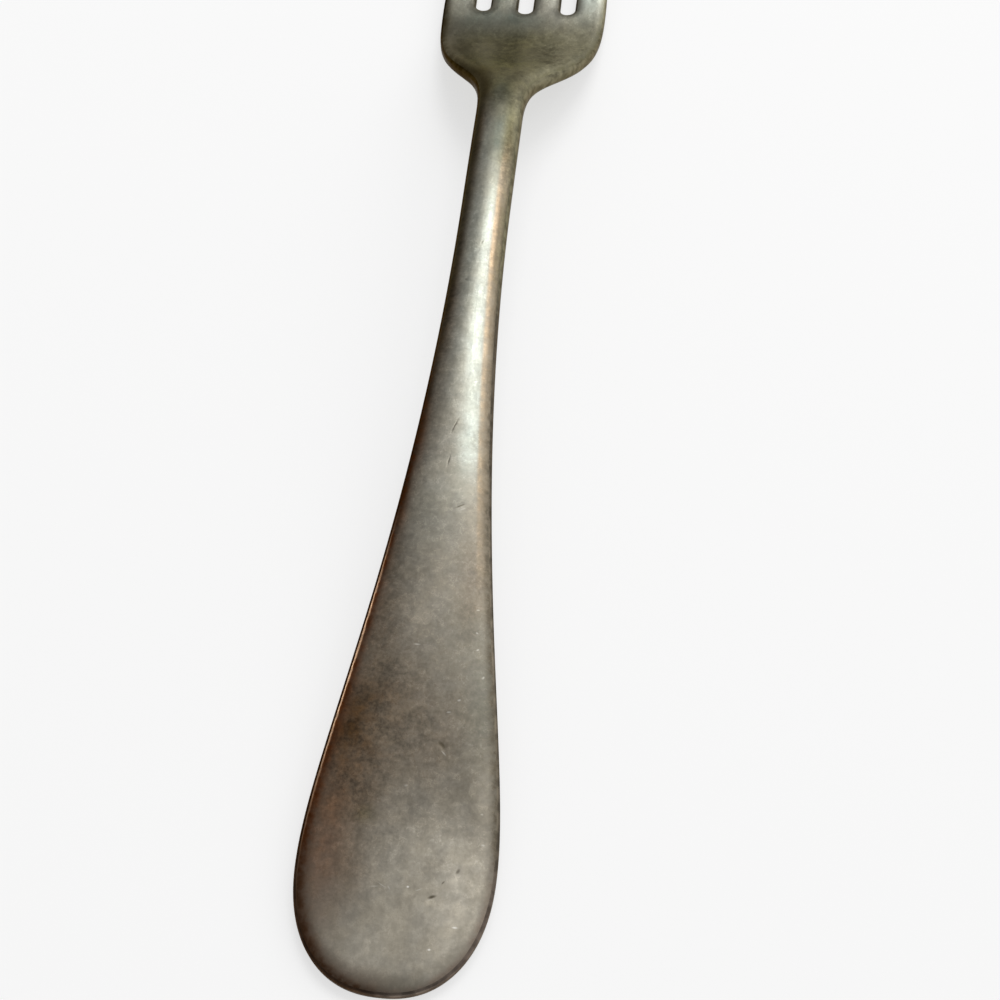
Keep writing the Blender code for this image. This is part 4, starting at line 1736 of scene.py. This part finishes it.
@dataclass(frozen=True)
class Studio:
    """A pale floor, soft light from above and from the far right, and the photograph's viewpoint."""

    floor_size: float = 8.0
    floor_colour: Colour = (0.36, 0.36, 0.36)
    floor_glow: float = 0.63
    shaded: Colour = (0.28, 0.28, 0.28)
    lit: Colour = (0.70, 0.70, 0.70)
    lit_side: tuple[float, float, float] = (0.602, 0.501, 0.622)
    lit_span: Span = (-0.1, 0.95)
    key: Softbox = Softbox("key_softbox", (0.121, 0.489, 0.864), 0.52, 0.44, 5.0)
    fill: Softbox = Softbox("side_softbox", (0.654, 0.447, 0.610), 0.50, 0.60, 1.5)
    eye: tuple[float, float, float] = (0.02023, -0.12982, 0.15186)
    pitch: float = math.radians(31.173)
    yaw: float = math.radians(-4.613)
    roll: float = math.radians(4.579)
    focal_share: float = 1.40044
    sensor: float = 36.0
    nearest: float = 0.01

    def lay_floor(self) -> None:
        """Lay the floor: plain diffuse white, lifted for the camera and for reflections only."""
        mesh = bpy.data.meshes.new("floor")
        half = self.floor_size / 2
        corners = np.array([(-1, -1, 0), (1, -1, 0), (1, 1, 0), (-1, 1, 0)]) * half
        mesh.from_pydata(corners.tolist(), [], [(0, 1, 2, 3)])
        floor = bpy.data.objects.new("floor", mesh)
        bpy.context.scene.collection.objects.link(floor)
        material, shop = new_material("pale_floor")
        seen, mirrored, through = (shop.node("ShaderNodeLightPath", output=ray)
                                   for ray in ("Is Camera Ray", "Is Glossy Ray", "Is Transmission Ray"))
        strength = self.floor_glow * (seen + mirrored + through)
        glow = shop.node("ShaderNodeEmission", None, {"Strength": strength})
        matt = shop.node("ShaderNodeBsdfDiffuse", None, {"Color": (*self.floor_colour, 1.0)})
        both = shop.node("ShaderNodeAddShader", None, {0: glow, 1: matt})
        shop.node("ShaderNodeOutputMaterial", None, {"Surface": both})
        mesh.materials.append(material)

    def light(self) -> None:
        """Set the even light of the room, paler towards one side, and hang the softboxes."""
        world = bpy.data.worlds.new("studio")
        world.use_nodes = True
        bpy.context.scene.world = world
        shop = NodeShop(world.node_tree)
        sky = shop.node("ShaderNodeTexCoord", output="Generated")
        towards = shop.node("ShaderNodeVectorMath", {"operation": "DOT_PRODUCT"},
                            {0: sky, 1: self.lit_side}, "Value")
        colour = shop.blend(shop.ramp(towards, self.lit_span), self.shaded, self.lit)
        background = shop.node("ShaderNodeBackground", None, {"Color": colour})
        shop.node("ShaderNodeOutputWorld", None, {"Surface": background})
        for lamp in (self.key, self.fill):
            lamp.hang(Vector((0.0, 0.0, 0.0)))

    def set_camera(self) -> None:
        """Stand the camera where the photograph was taken.

        It looks down by the pitch off the vertical towards +Y, then turns by the yaw and the roll.
        """
        ahead = Vector((0.0, math.sin(self.pitch), -math.cos(self.pitch)))
        up = Vector((0.0, math.cos(self.pitch), math.sin(self.pitch)))
        right = Vector((1.0, 0.0, 0.0))
        ahead, right = (ahead * math.cos(self.yaw) + right * math.sin(self.yaw),
                        right * math.cos(self.yaw) - ahead * math.sin(self.yaw))
        right, up = (right * math.cos(self.roll) + up * math.sin(self.roll),
                     up * math.cos(self.roll) - right * math.sin(self.roll))
        camera = bpy.data.objects.new("camera", bpy.data.cameras.new("camera"))
        camera.data.sensor_width = self.sensor
        camera.data.lens = self.sensor * self.focal_share
        camera.data.clip_start = self.nearest
        turn = Matrix((right, up, -ahead)).transposed().to_4x4()
        camera.matrix_world = Matrix.Translation(self.eye) @ turn
        bpy.context.scene.collection.objects.link(camera)
        bpy.context.scene.camera = camera


def main() -> None:
    """Build and dress the three pieces, then set the studio round them."""
    logging.basicConfig(level=logging.INFO, format="%(name)s: %(message)s")
    size = CAD_BOX[1] - CAD_BOX[0]
    plan = ForkPlan(size.y, size.x)
    fork = Fork(ForkForm(plan), WearPattern(plan))
    fine = Divisions()
    plain = fine.coarser(PLAIN_ROWS, PLAIN_COLUMNS)
    base_metal = BaseMetalFinish(WALL_GRIME_AND_SHADE)
    made = (
        (WornBlank(fork, plain), base_metal),
        (SilverSkin(fork, fine, Side.FACE, "face_silver_plating", "face_silver", "face_silver_skin"),
         TarnishedSilver(base_metal, RIM_GRIME_AND_SHADE, FACE_NICKS)),
        (SilverSkin(fork, plain, Side.BACK, "back_silver_plating", "back_silver", "back_silver_skin"),
         TarnishedSilver(base_metal, RIM_GRIME_AND_SHADE, shift=BACK_SHIFT)),
    )
    for part, finish in made:
        piece = part.build()
        part.dress(piece, finish)
        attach(piece, BODY)
        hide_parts(part.node)
        log.info("%s: %d triangles, for %s", piece.name, len(piece.data.polygons), part.node)
    bpy.context.scene.view_settings.view_transform = "Standard"
    studio = Studio()
    studio.lay_floor()
    studio.light()
    studio.set_camera()


if __name__ == "__main__":
    main()
